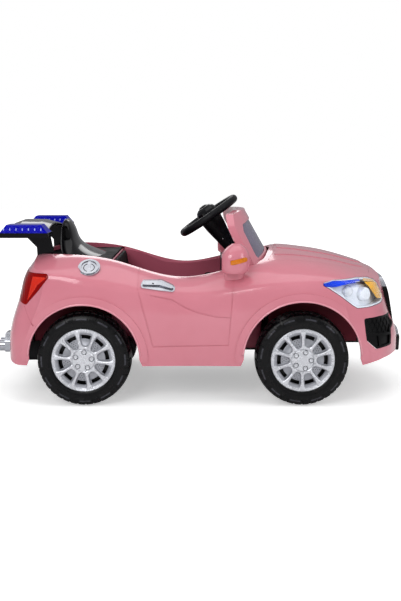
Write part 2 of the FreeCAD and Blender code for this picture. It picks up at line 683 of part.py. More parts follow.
def bumper_vent():
    """A corner intake: a mesh over two boxes, on a back plate."""
    clip = right_prism(shrunk(BUMPER_VENT, PANEL_GAP), 5)
    edge = clip.cut(right_prism(shrunk(BUMPER_VENT, 5), 4))
    bars = [edge, right_prism([(390, 178), (510, 166), (510, 160), (390, 172)], 1)]
    bars.append(right_prism([(434, 175), (440, 175), (446, 130), (440, 130)], 1))
    mesh = []
    for i in range(9):
        low, high = 372 + 14 * i, 402 + 14 * i
        mesh.append(right_prism([(low, 168), (low + 3, 168), (high + 3, 218), (high, 218)], 0.5))
        mesh.append(right_prism([(high, 168), (high + 3, 168), (low + 3, 218), (low, 218)], 0.5))
    above_bar = right_prism([(390, 178), (510, 166), (510, 230), (390, 230)], 1)
    solids = inlay(clip, 6, 11).Solids
    for bar in bars:
        solids += inlay(bar.common(clip), 0.5, 8).Solids
    for bar in mesh:
        solids += inlay(bar.common(clip).common(above_bar), 3.5, 8).Solids
    return joined(solids)


def grille_layer(tool, front, back):
    """The layer between two depths behind the grille's face, within a tool."""
    space = end_block(grille_x, nose_sweep, 1, front)
    return tool.common(space).cut(end_block(grille_x, nose_sweep, 1, back))


GRILLE_FLANGE = 11.0
GRILLE_CAP_Z = 274.0


def grille():
    """The black grille, standing proud of the nose, and the bright cap along its top."""
    inside = prism(shrunk(GRILLE, PANEL_GAP), "yz", 400, 600, 11)
    hole = prism(shrunk(GRILLE, 4), "yz", 400, 600, 9)
    solids = grille_layer(inside, 8, 13).Solids + grille_layer(inside.cut(hole), 0, 13).Solids
    for i in range(6):
        z = 187 + 17.0 * i
        slat = prism([(-120, z), (120, z), (120, z + 5), (-120, z + 5)], "yz", 400, 600)
        solids += grille_layer(inside.common(slat), 2, 9).Solids
    for y in (-36, 36):
        post = prism([(y - 2, 170), (y + 2, 170), (y + 2, 300), (y - 2, 300)], "yz", 400, 600)
        solids += grille_layer(inside.common(post), 4, 9).Solids
    flange = prism(shrunk(GRILLE, -GRILLE_FLANGE), "yz", 400, 600, 14).cut(hole)
    flange = grille_layer(flange, 0, 40).cut(envelope(-0.2))
    cap_space = prism([(-200, GRILLE_CAP_Z), (200, GRILLE_CAP_Z), (200, 330), (-200, 330)], "yz", 400, 600)
    outside = cap_space.cut(prism(GRILLE, "yz", 400, 600, 12))
    cap = flange.common(outside)
    return joined(solids + flange.cut(cap_space).Solids), cap


def chin():
    lip = prism(CHIN, "yz", 380, 600, 6)
    bright = prism(CHIN_STRIP, "yz", 380, 600, 5)
    return inlay(lip, -8, -0.2), inlay(bright, -5, -0.2)


def tail_end():
    plate = inlay(prism(shrunk(DIFFUSER, PANEL_GAP), "yz", -600, -480, 8), 4, 9)
    fins = []
    for y in (-60, -30, 0, 30, 60):
        fin = prism([(y - 2, 100), (y + 2, 100), (y + 2, 149), (y - 2, 149)], "yz", -600, -480)
        fins += inlay(fin, -4, 6).Solids
    return joined([plate] + fins)


EXHAUST_RADIUS = 19.0
EXHAUST_Y = 108.0
EXHAUST_Z = 118.0
EXHAUST_END = -550.0


def exhaust():
    """One pair of tailpipe ends in a shared bright holder."""
    holder = prism([(EXHAUST_Y - 34, 131), (EXHAUST_Y - 22, 152), (EXHAUST_Y + 22, 152), (EXHAUST_Y + 34, 131),
                    (EXHAUST_Y + 34, 102), (EXHAUST_Y - 34, 102)], "yz", EXHAUST_END + 20, -500, 8)
    pipes = [holder]
    for y in (EXHAUST_Y - 16, EXHAUST_Y + 16):
        pipes.append(rod(Vector(EXHAUST_END, y, EXHAUST_Z), Vector(-505, y, EXHAUST_Z), EXHAUST_RADIUS - 4))
    tips = joined(pipes)
    for y in (EXHAUST_Y - 16, EXHAUST_Y + 16):
        start = Vector(EXHAUST_END, y, EXHAUST_Z)
        tips = tips.cut(rod(start, start.add(Vector(34, 0, 0)), EXHAUST_RADIUS - 7))
    return tips.cut(envelope(3.8))


CAP_X = -290.0
CAP_RADIUS = 27.5


def filler_cap():
    way = Vector(0, -0.645, 0.764)
    seat_point = Vector(CAP_X, -233, 338)
    disc = rod(seat_point.sub(way * 12), seat_point.add(way * 4), CAP_RADIUS)
    ring = rod(seat_point.add(way * 1), seat_point.add(way * 7), CAP_RADIUS - 3)
    ring = ring.cut(rod(seat_point, seat_point.add(way * 8), CAP_RADIUS - 8))
    grip = box(-3.5, 3.5, -18, 18, 0, 6)
    grip.Placement = Placement(seat_point, Rotation(Vector(0, 0, 1), way))
    return joined([disc, ring, grip]).cut(envelope(-0.2))


def door_handle():
    plate = [(-161, 297), (-159, 303), (-155, 309), (-110, 308), (-82, 297), (-76, 291), (-77, 284), (-82, 281),
             (-118, 285), (-158, 291)]
    grip = [(-157, 299), (-155, 309), (-110, 308), (-82, 297), (-78, 291), (-84, 289), (-114, 297)]
    solids = inlay(right_prism(plate, 3, -200), -3, -0.2).Solids
    solids += inlay(right_prism(shrunk(grip, 0.6), 3, -200), -9, -2).Solids
    return joined(solids)


def light_bar():
    """The wing with its two pylons and lamp bases."""
    solids = []
    blade = []
    ends = ((-BEACON_INNER_Y, -17, -514, -396), (0, 4, -530, -402), (BEACON_INNER_Y, -17, -514, -396))
    for y, lift, rear, front in ends:
        spot = [(rear, 428 + lift), (rear + 36, 441 + lift), (rear + 86, 440 + lift), (front, 430 + lift),
                (front - 30, 426 + lift), (rear + 30, 427 + lift)]
        blade.append(outline(spot, "xz", y, 4))
    solids.append(Part.makeLoft(blade, True, False))
    for way in (-1, 1):
        y0, y1 = sorted((way * (BEACON_INNER_Y - 3), way * BEACON_OUTER_Y))
        base = [(-517, y0), (-393, y0), (-393, y1), (-517, y1)]
        solids.append(prism(base, "xy", BEACON_BASE_Z, BEACON_LENS_Z, 7))
        pylon = [(-470, 420), (-462, 404), (-439, 380), (-438, DECK_HEIGHT), (-394, DECK_HEIGHT), (-404, 404),
                 (-402, 420)]
        y2, y3 = sorted((way * 116, way * 132))
        solids.append(prism(pylon, "xz", y2, y3, 4))
    return joined(solids).cut(envelope(-0.3).cut(cockpit_tool(0, 300, 420)))


def beacon_lens():
    low = outline([(-515, -BEACON_OUTER_Y + 2), (-395, -BEACON_OUTER_Y + 2), (-395, -BEACON_INNER_Y - 2),
                   (-515, -BEACON_INNER_Y - 2)], "xy", BEACON_LENS_Z, 6)
    high = outline([(-498, -BEACON_OUTER_Y + 7), (-411, -BEACON_OUTER_Y + 7), (-411, -BEACON_INNER_Y - 9),
                    (-498, -BEACON_INNER_Y - 9)], "xy", BEACON_TOP_Z, 6)
    return Part.makeLoft([low, high], True, False)


def seat():
    shape = [(-241, TUB_FLOOR_TOP), (-78, TUB_FLOOR_TOP), (-72, 194), (-84, SEAT_HEIGHT),
             (-200, SEAT_HEIGHT - 8), (-214, 250), (-232, 344), (-241, 344)]
    pad = prism(shape, "xz", -SEAT_HALF_WIDTH, SEAT_HALF_WIDTH, 9)
    room = box(-235, -84, 5 - SEAT_HALF_WIDTH, SEAT_HALF_WIDTH - 5, TUB_FLOOR_TOP, SEAT_HEIGHT - 15)
    rear = prism([(-245, 196), (-224, 196), (-224, 246), (-238, 334), (-245, 334)], "xz",
                 5 - SEAT_HALF_WIDTH, SEAT_HALF_WIDTH - 5)
    hollow = [(-196, -112), (-76, -96), (-60, -96), (-60, 96), (-76, 96), (-196, 112)]
    dish = prism(hollow, "xy", SEAT_HEIGHT - 11, 300, 24).common(box(-196, -60, -200, 200, 150, 400))
    return pad.cut(room).cut(rear).cut(dish).cut(drive_bay(TUB_WALL + 0.5))


def headrest_form(grow):
    sizes = ((DECK_HEIGHT, -392, -276, 112), (362, -393, -306, 98), (378, -393, -336, 80),
             (398, -393, -350, 64), (420, -392, -357, 54), (437, -388, -366, 42), (445, -383, -374, 28))
    return dome(sizes, 0, 0.45, 0.7, grow)


def headrest():
    """The fairing behind the driver, with a pocket in each side and hollow below."""
    window = [(-385, 431), (-372, 429), (-362, 402), (-362, 393), (-385, 391)]
    pocket = prism(window, "xz", -150, -26, 5)
    hollow = headrest_form(-6).common(box(-420, -240, -150, 150, DECK_HEIGHT, 383))
    return headrest_form(0).cut(pocket).cut(mirrored(pocket)).cut(hollow)


def rear_deck():
    plate = cockpit_tool(PANEL_GAP, DECK_HEIGHT - 4, DECK_HEIGHT)
    return plate.common(box(-500, TUB_REAR_X - 1, -300, 300, 300, 400))


def battery():
    case = box(-215, -120, -42, 42, TUB_FLOOR_TOP, TUB_FLOOR_TOP + 62)
    posts = [box(-205, -195, y, y + 8, TUB_FLOOR_TOP + 60, TUB_FLOOR_TOP + 68) for y in (-30, 22)]
    return joined([case] + posts)


def control_box():
    base = FLOOR_HEIGHT + FLOOR_THICKNESS
    case = prism([(290, -48), (370, -48), (370, 48), (290, 48)], "xy", base, base + 30, 5)
    plugs = [box(284, 292, y, y + 16, base + 6, base + 20) for y in (-40, -8, 24)]
    return joined([case] + plugs)


def pedal_bracket():
    pin = rod(Vector(PEDAL_X, PEDAL_Y - 36, 126), Vector(PEDAL_X, PEDAL_Y + 36, 126), PEDAL_PIN_RADIUS)
    ears = []
    for y in (PEDAL_Y - 36, PEDAL_Y + 32):
        ears.append(box(PEDAL_X - 10, PEDAL_X + 10, y, y + 4, TUB_FLOOR_TOP, 136))
    return joined([pin] + ears)


def pedal():
    tread = box(0, 84, PEDAL_Y - 27, PEDAL_Y + 27, 2, 8)
    ribs = [box(18 + 12 * i, 22 + 12 * i, PEDAL_Y - 23, PEDAL_Y + 23, 7, 10) for i in range(6)]
    plate = joined([tread] + ribs)
    plate.Placement = Placement(Vector(PEDAL_X, 0, 126), Rotation(Vector(0, 1, 0), -52))
    barrel = rod(Vector(PEDAL_X, PEDAL_Y - 30, 126), Vector(PEDAL_X, PEDAL_Y + 30, 126), 7)
    reach = Vector(0, 50, 0)
    spot = Vector(PEDAL_X, PEDAL_Y, 126)
    bore = rod(spot.sub(reach), spot.add(reach), PEDAL_PIN_RADIUS + RUNNING_CLEARANCE)
    return joined([plate, barrel]).cut(bore)


def gear_lever():
    stick = rod(Vector(LEVER_X, LEVER_Y, LEVER_Z - 8), Vector(LEVER_X, LEVER_Y, 262), 4.5)
    pin_reach = Vector(0, LEVER_PIN_HALF, 0)
    pin_spot = Vector(LEVER_X, LEVER_Y, LEVER_Z)
    pin = rod(pin_spot.sub(pin_reach), pin_spot.add(pin_reach), LEVER_PIN_RADIUS)
    knob = Part.makeSphere(13, Vector(LEVER_X, LEVER_Y, 265))
    return joined([stick, pin, knob])


def axle_beam():
    """The front beam with a forked end and a king pin at each side."""
    beam = box(FRONT_AXLE_X - 14, FRONT_AXLE_X + 14, -150, 150, 98, 122)
    mount = box(FRONT_AXLE_X - 20, FRONT_AXLE_X + 20, -60, 60, 120, FLOOR_HEIGHT)
    solids = [beam, mount]
    for way in (-1, 1):
        y0, y1 = sorted((way * 144, way * 156))
        solids.append(box(FRONT_AXLE_X - 12, FRONT_AXLE_X + 12, y0, y1, 80, 140))
        for z in (80, 132):
            solids.append(Part.makeCylinder(13, 8, Vector(FRONT_AXLE_X, way * KING_PIN_Y, z)))
            y2, y3 = sorted((way * 150, way * KING_PIN_Y))
            solids.append(box(FRONT_AXLE_X - 12, FRONT_AXLE_X + 12, y2, y3, z, z + 8))
        solids.append(Part.makeCylinder(KING_PIN_RADIUS, 64, Vector(FRONT_AXLE_X, way * KING_PIN_Y, 78)))
    return joined(solids)


def knuckle():
    """The left knuckle with its stub axle, steering arm and end cap."""
    x, y = FRONT_AXLE_X, KING_PIN_Y
    block = Part.makeCylinder(14, 42, Vector(x, y, AXLE_Z - 21))
    outer = box(x - 14, x + 14, y, y + 13, AXLE_Z - 15, AXLE_Z + 15)
    web = box(x - 30, x, y - 8, y + 8, AXLE_Z - 14, AXLE_Z + 14)
    riser = box(x - 30, x - 16, y - 8, y + 8, AXLE_Z - 14, TIE_ROD_HEIGHT - 6)
    arm_top = TIE_ROD_HEIGHT - TIE_ROD_THICKNESS / 2 - 0.5
    arm = box(TIE_ROD_X, x - 16, y - 8, y + 8, arm_top - 8, arm_top)
    tip = Part.makeCylinder(8, 8, Vector(TIE_ROD_X, y, arm_top - 8))
    pin = Part.makeCylinder(CRANK_PIN_RADIUS, TIE_ROD_THICKNESS + 5, Vector(TIE_ROD_X, y, arm_top - 1))
    stub = rod(Vector(x, y + 12, AXLE_Z), Vector(x, AXLE_END_Y, AXLE_Z), AXLE_RADIUS)
    end_cap = rod(Vector(x, HUB_FACE_Y + 1, AXLE_Z), Vector(x, AXLE_END_Y, AXLE_Z), 10)
    bore = Part.makeCylinder(KING_PIN_RADIUS + RUNNING_CLEARANCE, 80, Vector(x, y, 70))
    return joined([block, outer, web, riser, arm, tip, pin, stub, end_cap]).cut(bore)


def tie_rod():
    z = TIE_ROD_HEIGHT - TIE_ROD_THICKNESS / 2
    end_y = KING_PIN_Y + 12
    front = [(13, -end_y), (13, -150), (7, -130), (7, -40), (22, -26), (22, 26), (7, 40), (7, 130), (13, 150),
             (13, end_y), (-9, end_y), (-9, -end_y)]
    bar = prism([(TIE_ROD_X + x, y) for x, y in front], "xy", z, z + TIE_ROD_THICKNESS, 4)
    half = CRANK_PIN_RADIUS + LINK_PLAY
    for y, back, ahead in ((-KING_PIN_Y, 5, 9), (0, 7, 19), (KING_PIN_Y, 5, 9)):
        rear, front = TIE_ROD_X - back, TIE_ROD_X + ahead
        bar = bar.cut(box(rear, front, y - half, y + half, z - 1, z + TIE_ROD_THICKNESS + 1))
    return bar


def steering_shaft():
    arm = [(0, -9), (CRANK_LENGTH, -7), (CRANK_LENGTH, 7), (0, 9)]
    plate = prism([(-a, b) for a, b in arm], "xy", -314, -306)
    boss = Part.makeCylinder(9, 8, Vector(0, 0, -314))
    eye = Part.makeCylinder(7, 8, Vector(-CRANK_LENGTH, 0, -314))
    crank = steered(joined([plate, boss, eye]))
    pin = column(308, 347, CRANK_PIN_RADIUS, CRANK_LENGTH)
    return joined([column(6, SHAFT_END, AXLE_RADIUS), crank, pin])


def steering_wheel():
    grip = Part.makeTorus(STEERING_RADIUS, STEERING_GRIP_RADIUS)
    hub = spun([(AXLE_RADIUS, -13), (26, -13), (31, -4), (31, 6), (AXLE_RADIUS, 6)])
    neck = spun([(AXLE_RADIUS, -126), (17, -126), (17, -96), (28, -34), (30, -12), (AXLE_RADIUS, -12)])
    solids = [grip, hub, neck]
    for turn in (0, 90, 180):
        arm = prism([(26, -15), (STEERING_RADIUS, -11), (STEERING_RADIUS, 11), (26, 15)], "xy", -6, 5)
        arm.Placement = Placement(Vector(0, 0, 0), Rotation(Vector(0, 0, 1), turn + 90))
        solids.append(arm)
    return steered(joined(solids))


HORN_RADIUS = 13.0
HORN_GAP = 0.4


def steering_pad():
    well = HORN_RADIUS + HORN_GAP
    return steered(spun([(0, 6), (30, 6), (29, 14), (25, 21), (18, 26), (well, 27), (well, 17), (0, 17)]))


def horn_button():
    return steered(spun([(0, 20), (HORN_RADIUS, 20), (HORN_RADIUS, 28), (9, 30.5), (0, 31.5)]))


def rear_axle():
    ends = [Vector(REAR_AXLE_X, way * AXLE_END_Y, AXLE_Z) for way in (-1, 1)]
    solids = [rod(ends[0], ends[1], AXLE_RADIUS)]
    for way, end in zip((-1, 1), ends):
        solids.append(rod(Vector(REAR_AXLE_X, way * (HUB_FACE_Y + 1), AXLE_Z), end, 10))
    return joined(solids)


def placed_wheel(shape, axle_x):
    shape.translate(Vector(axle_x, WHEEL_OUTER_FACE, AXLE_Z))
    return shape


def tyre():
    """The left wheel's black moulding: tread, web and hub, open towards the car. Depth runs to -Y."""
    r, w, bore = WHEEL_RADIUS, WHEEL_WIDTH, AXLE_RADIUS + RUNNING_CLEARANCE
    seat_r, well = RIM_RADIUS + 0.3, RIM_RADIUS - 10
    side, inner = r - TREAD_CROWN, r - TREAD_CROWN - 6
    depth = [(seat_r, 3), (seat_r + 8, 0), (side - 10, 0), (side - 3, 3), (side, 10), (r, 0.36 * w),
             (r, 0.64 * w), (side, w - 10), (side - 3, w - 3), (side - 9, w), (side - 11, w), (inner, w - 12),
             (inner, 12), (inner - 6, 6), (seat_r + 6, 6), (seat_r + 4, 10), (seat_r + 4, 16), (well + 4, 16),
             (well + 4, 33), (HUB_RADIUS, 33), (HUB_RADIUS, w), (bore, w), (bore, HUB_DEPTH),
             (HUB_RADIUS, HUB_DEPTH), (HUB_RADIUS, 29), (well, 29), (well, 12), (seat_r, 12)]
    body_form = turned([(a, -b) for a, b in depth])
    notches = []
    for i in range(36):
        for low, high in ((-1, 17), (w - 17, w + 1)):
            notch = box(side - 4, r + 4, -high, -low, -2.5, 2.5)
            turn = 10 * i + (5 if low > 0 else 0)
            notch.Placement = Placement(Vector(0, 0, 0), Rotation(Vector(0, 1, 0), turn))
            notches.append(notch)
    return body_form.cut(Part.makeCompound(notches))


def rim():
    """The left wheel's bright trim: a dished disc with spokes, slots and nuts."""
    dish = turned([(0, -3), (26, -3), (31, -8), (54, -13), (65, -13), (69, -4), (72, -2), (RIM_RADIUS, -4),
                   (RIM_RADIUS, -12), (69, -12), (67, -17), (50, -17), (28, -12), (22, -6.5), (0, -6.5)])
    step = 360.0 / RIM_SPOKES
    solids = [dish]
    slots = []
    for i in range(RIM_SPOKES):
        spoke = prism([(20, -4.5), (69, -4), (69, 4), (20, 4.5)], "xz", -14, -3.6)
        spoke.Placement = Placement(Vector(0, 0, 0), Rotation(Vector(0, 1, 0), step * i))
        solids.append(spoke)
        ring = Part.makeCylinder(63.5, 30, Vector(0, -25, 0), Vector(0, 1, 0), step - 14)
        ring = ring.cut(Part.makeCylinder(56, 40, Vector(0, -30, 0), Vector(0, 1, 0)))
        turn = Placement(Vector(0, 0, 0), Rotation(Vector(0, 1, 0), step * i + 7))
        ring.Placement = turn.multiply(ring.Placement)
        slots.append(ring)
    for i in range(WHEEL_NUTS):
        turn = 2 * math.pi * i / WHEEL_NUTS + math.pi / 2
        spot = Vector(NUT_CIRCLE_RADIUS * math.cos(turn), -7, NUT_CIRCLE_RADIUS * math.sin(turn))
        solids.append(Part.makeCylinder(NUT_RADIUS, 6, spot, Vector(0, 1, 0)))
    return joined(solids).cut(Part.makeCompound(slots))


DRIVE_CENTRES = (OUTPUT_MODULE * (OUTPUT_TEETH + SMALL_TEETH) / 2,
                 MOTOR_MODULE * (LARGE_TEETH + MOTOR_TEETH) / 2)
DRIVE_TURN = math.radians(DRIVE_ANGLE)


def drive_point(reach, y):
    return Vector(REAR_AXLE_X + reach * math.cos(DRIVE_TURN), y, AXLE_Z + reach * math.sin(DRIVE_TURN))


MOTOR_REACH = DRIVE_CENTRES[0] + DRIVE_CENTRES[1]
CASE_OUTER_Y = -186.0
CASE_INNER_Y = -146.0


def motor_room(gap):
    return rod(drive_point(MOTOR_REACH, -150), drive_point(MOTOR_REACH, -60), MOTOR_RADIUS + gap)


def gear(teeth, module, centre, y0, y1, first):
    """A spur gear about Y with one tooth centred at the first angle."""
    pitch = module * teeth / 2
    base = pitch * math.cos(math.radians(20))
    root, tip = pitch - 1.2 * module, pitch + 0.9 * module
    width = math.pi / (2 * teeth) - GEAR_BACKLASH / (2 * pitch)

    def swing(radius):
        lean = math.acos(min(1.0, base / radius))
        return math.tan(lean) - lean

    start = max(base, root + 0.1)
    flank = [start + (tip - start) * k / 3 for k in range(4)]
    angles = [width + swing(pitch) - swing(radius) for radius in flank]
    points = []
    for i in range(teeth):
        middle = first + 2 * math.pi * i / teeth
        side = [(root, angles[0])] + list(zip(flank, angles))
        for radius, turn in side:
            points.append((radius * math.cos(middle - turn), radius * math.sin(middle - turn)))
        for radius, turn in reversed(side):
            points.append((radius * math.cos(middle + turn), radius * math.sin(middle + turn)))
    shape = prism(points, "xz", y0, y1)
    shape.translate(Vector(centre.x, 0, centre.z))
    return shape


def drive_gears():
    """Output gear, reduction gear and motor pinion, meshed on the line from the axle to the motor."""
    axle = drive_point(0, 0)
    idle = drive_point(DRIVE_CENTRES[0], 0)
    motor_spot = drive_point(MOTOR_REACH, 0)
    output = gear(OUTPUT_TEETH, OUTPUT_MODULE, axle, -180, -168, DRIVE_TURN)
    boss = rod(drive_point(0, -188), drive_point(0, -170), 16)
    output = joined([output, boss]).cut(rod(drive_point(0, -200), drive_point(0, -150), AXLE_RADIUS + 0.3))
    small = gear(SMALL_TEETH, OUTPUT_MODULE, idle, -181, -165, DRIVE_TURN + math.pi + math.pi / SMALL_TEETH)
    large = gear(LARGE_TEETH, MOTOR_MODULE, idle, -166, -158, DRIVE_TURN)
    idle_ends = [drive_point(DRIVE_CENTRES[0], y) for y in (-200, -100)]
    reduction = joined([small, large]).cut(rod(idle_ends[0], idle_ends[1], IDLE_PIN_RADIUS + RUNNING_CLEARANCE))
    first = DRIVE_TURN + math.pi + math.pi / MOTOR_TEETH
    pinion = gear(MOTOR_TEETH, MOTOR_MODULE, motor_spot, -167, -156, first)
    shaft = rod(drive_point(MOTOR_REACH, -168), drive_point(MOTOR_REACH, CASE_INNER_Y + 10), 1.6)
    return output, reduction, joined([pinion, shaft])


def teardrop(shrink, y0, y1):
    """A round-ended hull over the axle and the motor."""
    ends = ((0.0, 54.0 - shrink), (MOTOR_REACH, 31.0 - shrink))
    lean = math.acos((ends[0][1] - ends[1][1]) / MOTOR_REACH)
    solids = [rod(drive_point(reach, y0), drive_point(reach, y1), radius) for reach, radius in ends]
    corners = []
    for reach, radius in ends:
        corners.append((reach, radius, lean))
    for reach, radius in reversed(ends):
        corners.append((reach, radius, -lean))
    points = []
    for reach, radius, turn in corners:
        spot = drive_point(reach, 0)
        angle = DRIVE_TURN + turn
        points.append((spot.x + radius * math.cos(angle), spot.z + radius * math.sin(angle)))
    solids.append(prism(points, "xz", y0, y1))
    return joined(solids)


def gearbox_case():
    case = teardrop(0, CASE_OUTER_Y, CASE_INNER_Y)
    case = case.cut(teardrop(CASE_WALL, CASE_OUTER_Y + CASE_WALL, CASE_INNER_Y - CASE_WALL))
    case = case.cut(rod(drive_point(0, -200), drive_point(0, -170), 16.5))
    case = case.cut(rod(drive_point(0, -170), drive_point(0, -100), AXLE_RADIUS))
    case = case.cut(rod(drive_point(MOTOR_REACH, -170), drive_point(MOTOR_REACH, -100), 2.0))
    pin_ends = [drive_point(DRIVE_CENTRES[0], y) for y in (CASE_OUTER_Y + 1, CASE_INNER_Y - 1)]
    return joined([case, rod(pin_ends[0], pin_ends[1], IDLE_PIN_RADIUS)])


def motor():
    end_y = CASE_INNER_Y + MOTOR_LENGTH
    can = rod(drive_point(MOTOR_REACH, CASE_INNER_Y), drive_point(MOTOR_REACH, end_y), MOTOR_RADIUS)
    tail = rod(drive_point(MOTOR_REACH, end_y - 1), drive_point(MOTOR_REACH, end_y + 5), 6)
    bore = rod(drive_point(MOTOR_REACH, CASE_INNER_Y - 1), drive_point(MOTOR_REACH, CASE_INNER_Y + 12), 1.68)
    return joined([can, tail]).cut(bore)


shell, bonnet = body()
save("body_shell", shell)
save("bonnet", bonnet)
save("cockpit_tub", cockpit_tub())
save("floor_pan", floor_pan())
save("inner_arches", inner_arches())
save("dashboard", dashboard())
save("power_switch", power_switch())
save("sound_button", sound_button())
frame, pane = windscreen()
save("windscreen_frame", frame)
save("windscreen_pane", pane)
for name, piece in zip(("mirror_pods", "mirror_glasses", "mirror_indicators"), mirrors()):
    save(name, both(piece))
lamp_names = ("headlamp_lenses", "headlamp_housings", "headlamp_lamps", "headlamp_ambers", "headlamp_blues")
for name, piece in zip(lamp_names, headlamps()):
    save(name, both(piece))
save("bumper_vents", both(bumper_vent()))
for name, piece in zip(("grille", "grille_surround"), grille()):
    save(name, piece)
for name, piece in zip(("chin_spoiler", "chin_strip"), chin()):
    save(name, piece)
save("tail_lamps", both(inlay(right_prism(shrunk(TAIL_LAMP, PANEL_GAP), 6), -1.0, TRIM_DEPTH)))
save("rear_diffuser", tail_end())
save("exhaust_tips", both(exhaust()))
save("filler_cap", filler_cap())
save("door_handles", both(door_handle()))
save("wing", light_bar())
save("beacon_lenses", both(beacon_lens()))
save("seat", seat())
save("headrest", headrest())
save("rear_deck", rear_deck())
save("battery", battery())
save("control_box", control_box())
save("pedal_bracket", pedal_bracket())
save("pedal", pedal())
save("gear_lever", gear_lever())
save("front_axle_beam", axle_beam())
left_knuckle = knuckle()
save("knuckle_left", left_knuckle)
save("knuckle_right", mirrored(left_knuckle))
save("tie_rod", tie_rod())
save("steering_shaft", steering_shaft())
save("steering_wheel", steering_wheel())
save("steering_pad", steering_pad())
save("horn_button", horn_button())
save("rear_axle", rear_axle())
for name, axle_x in (("front", FRONT_AXLE_X), ("rear", REAR_AXLE_X)):
    left_tyre = placed_wheel(tyre(), axle_x)
    left_rim = placed_wheel(rim(), axle_x)
    save("tyre_" + name + "_left", left_tyre)
    save("tyre_" + name + "_right", mirrored(left_tyre))
    save("rim_" + name + "_left", left_rim)
    save("rim_" + name + "_right", mirrored(left_rim))
for name, piece in zip(("output_gear", "reduction_gear", "motor_pinion"), drive_gears()):
    save(name, piece)
save("gearbox_case", gearbox_case())
save("motor", motor())
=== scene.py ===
"""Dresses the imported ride-on car: materials, tread, wheel trims, lamp details, light and camera.

Metres, in the frame's axes: +X forward, +Y to the car's left, +Z up. The photo shows the right side.
The tyre's section and the wheel trim's relief are drawn in millimetres.
"""
import math

import bpy
import numpy as np
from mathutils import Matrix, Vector
from mathutils.bvhtree import BVHTree
from mathutils.geometry import delaunay_2d_cdt


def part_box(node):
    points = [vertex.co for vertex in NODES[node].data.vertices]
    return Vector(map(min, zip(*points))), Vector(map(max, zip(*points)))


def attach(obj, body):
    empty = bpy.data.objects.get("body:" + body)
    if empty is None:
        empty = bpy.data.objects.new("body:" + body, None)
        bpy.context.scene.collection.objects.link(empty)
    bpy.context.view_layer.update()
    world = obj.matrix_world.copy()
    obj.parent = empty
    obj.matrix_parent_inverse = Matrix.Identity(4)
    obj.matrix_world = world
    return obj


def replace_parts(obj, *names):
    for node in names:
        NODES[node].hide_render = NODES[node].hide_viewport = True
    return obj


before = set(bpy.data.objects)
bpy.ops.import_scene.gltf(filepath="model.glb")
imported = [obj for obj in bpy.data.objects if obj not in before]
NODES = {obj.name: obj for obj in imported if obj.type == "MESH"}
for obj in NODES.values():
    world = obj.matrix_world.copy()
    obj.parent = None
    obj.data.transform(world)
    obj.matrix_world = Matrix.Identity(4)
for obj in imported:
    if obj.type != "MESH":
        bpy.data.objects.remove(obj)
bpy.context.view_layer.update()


def middle_of(node, axis):
    """The middle of a node's box along an axis."""
    low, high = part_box(node)
    return (low[axis] + high[axis]) / 2


# Wheel sizes, read from the solids
TYRE_LOW, TYRE_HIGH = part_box("tyre_front_left")
RIM_LOW, RIM_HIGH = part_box("rim_front_left")
TYRE_R = (TYRE_HIGH[2] - TYRE_LOW[2]) / 2
TYRE_W = TYRE_HIGH[1] - TYRE_LOW[1]
OUTER_FACE = TYRE_HIGH[1]
RIM_R = (RIM_HIGH[2] - RIM_LOW[2]) / 2
AXLE_Z = TYRE_LOW[2] + TYRE_R
FRONT_X = middle_of("tyre_front_left", 0)
REAR_X = middle_of("tyre_rear_left", 0)
# How far the wheels stand turned, in degrees
FRONT_TURN = 0.0
REAR_TURN = 11.4

SIDES = ((-1, "right"), (1, "left"))
UP, DOWN = Vector((0, 0, 1)), Vector((0, 0, -1))
# Further from the middle plane than any piece: rays towards the car's sides start here
OUTSIDE = 0.5


# Materials: noise scales are per metre, bump heights in metres
# Plastics: smudges per colour patch, the shares of the roughness they run between, coat and grain
SMUDGES, PLASTIC_ROUGH = 5.0, (0.8, 1.25)
COAT_ROUGH, GRAIN_STRENGTH = 0.04, 0.5
# Lenses: scales of the dust, the tint and the ripple, the deeper tint's share, and heights with strengths
DUST, TINT, RIPPLE, TINT_SHARE = 60.0, 25.0, 90.0, 0.9
RIB_BUMP, RIPPLE_BUMP = (0.0006, 0.7), (0.00004, 0.4)
# Metals: the shares of the roughness, and the height and strength of flakes and streaks
METAL_ROUGH, METAL_BUMP = (0.75, 1.3), (0.00002, 0.3)


def srgb(r, g, b):
    """A linear colour from display values of 0 to 255."""
    out = []
    for c in (r / 255.0, g / 255.0, b / 255.0):
        out.append(c / 12.92 if c <= 0.04045 else ((c + 0.055) / 1.055) ** 2.4)
    return (out[0], out[1], out[2], 1.0)


def blank(name):
    """A new material, its node tree and its shader."""
    mat = bpy.data.materials.new(name)
    mat.use_nodes = True
    return mat, mat.node_tree, mat.node_tree.nodes["Principled BSDF"]


def add_node(tree, kind, values):
    """A new shader node with constants on its sockets."""
    node = tree.nodes.new(kind)
    for socket, value in values.items():
        node.inputs[socket].default_value = value
    return node


def coords(tree, stretch=(1, 1, 1)):
    """Places in the object's own axes, stretched where asked for."""
    where = tree.nodes.new("ShaderNodeTexCoord").outputs["Object"]
    if stretch == (1, 1, 1):
        return where
    mapping = add_node(tree, "ShaderNodeMapping", {"Scale": stretch})
    tree.links.new(where, mapping.inputs["Vector"])
    return mapping.outputs["Vector"]


def noise(tree, where, scale, detail=3.0, rough=0.55):
    """Cloudy values round 0.5."""
    made = add_node(tree, "ShaderNodeTexNoise", {"Scale": scale, "Detail": detail, "Roughness": rough})
    tree.links.new(where, made.inputs["Vector"])
    return made.outputs["Fac"]


def cells(tree, where, scale):
    """The distance from scattered points, for leather and flakes."""
    made = add_node(tree, "ShaderNodeTexVoronoi", {"Scale": scale})
    tree.links.new(where, made.inputs["Vector"])
    return made.outputs["Distance"]


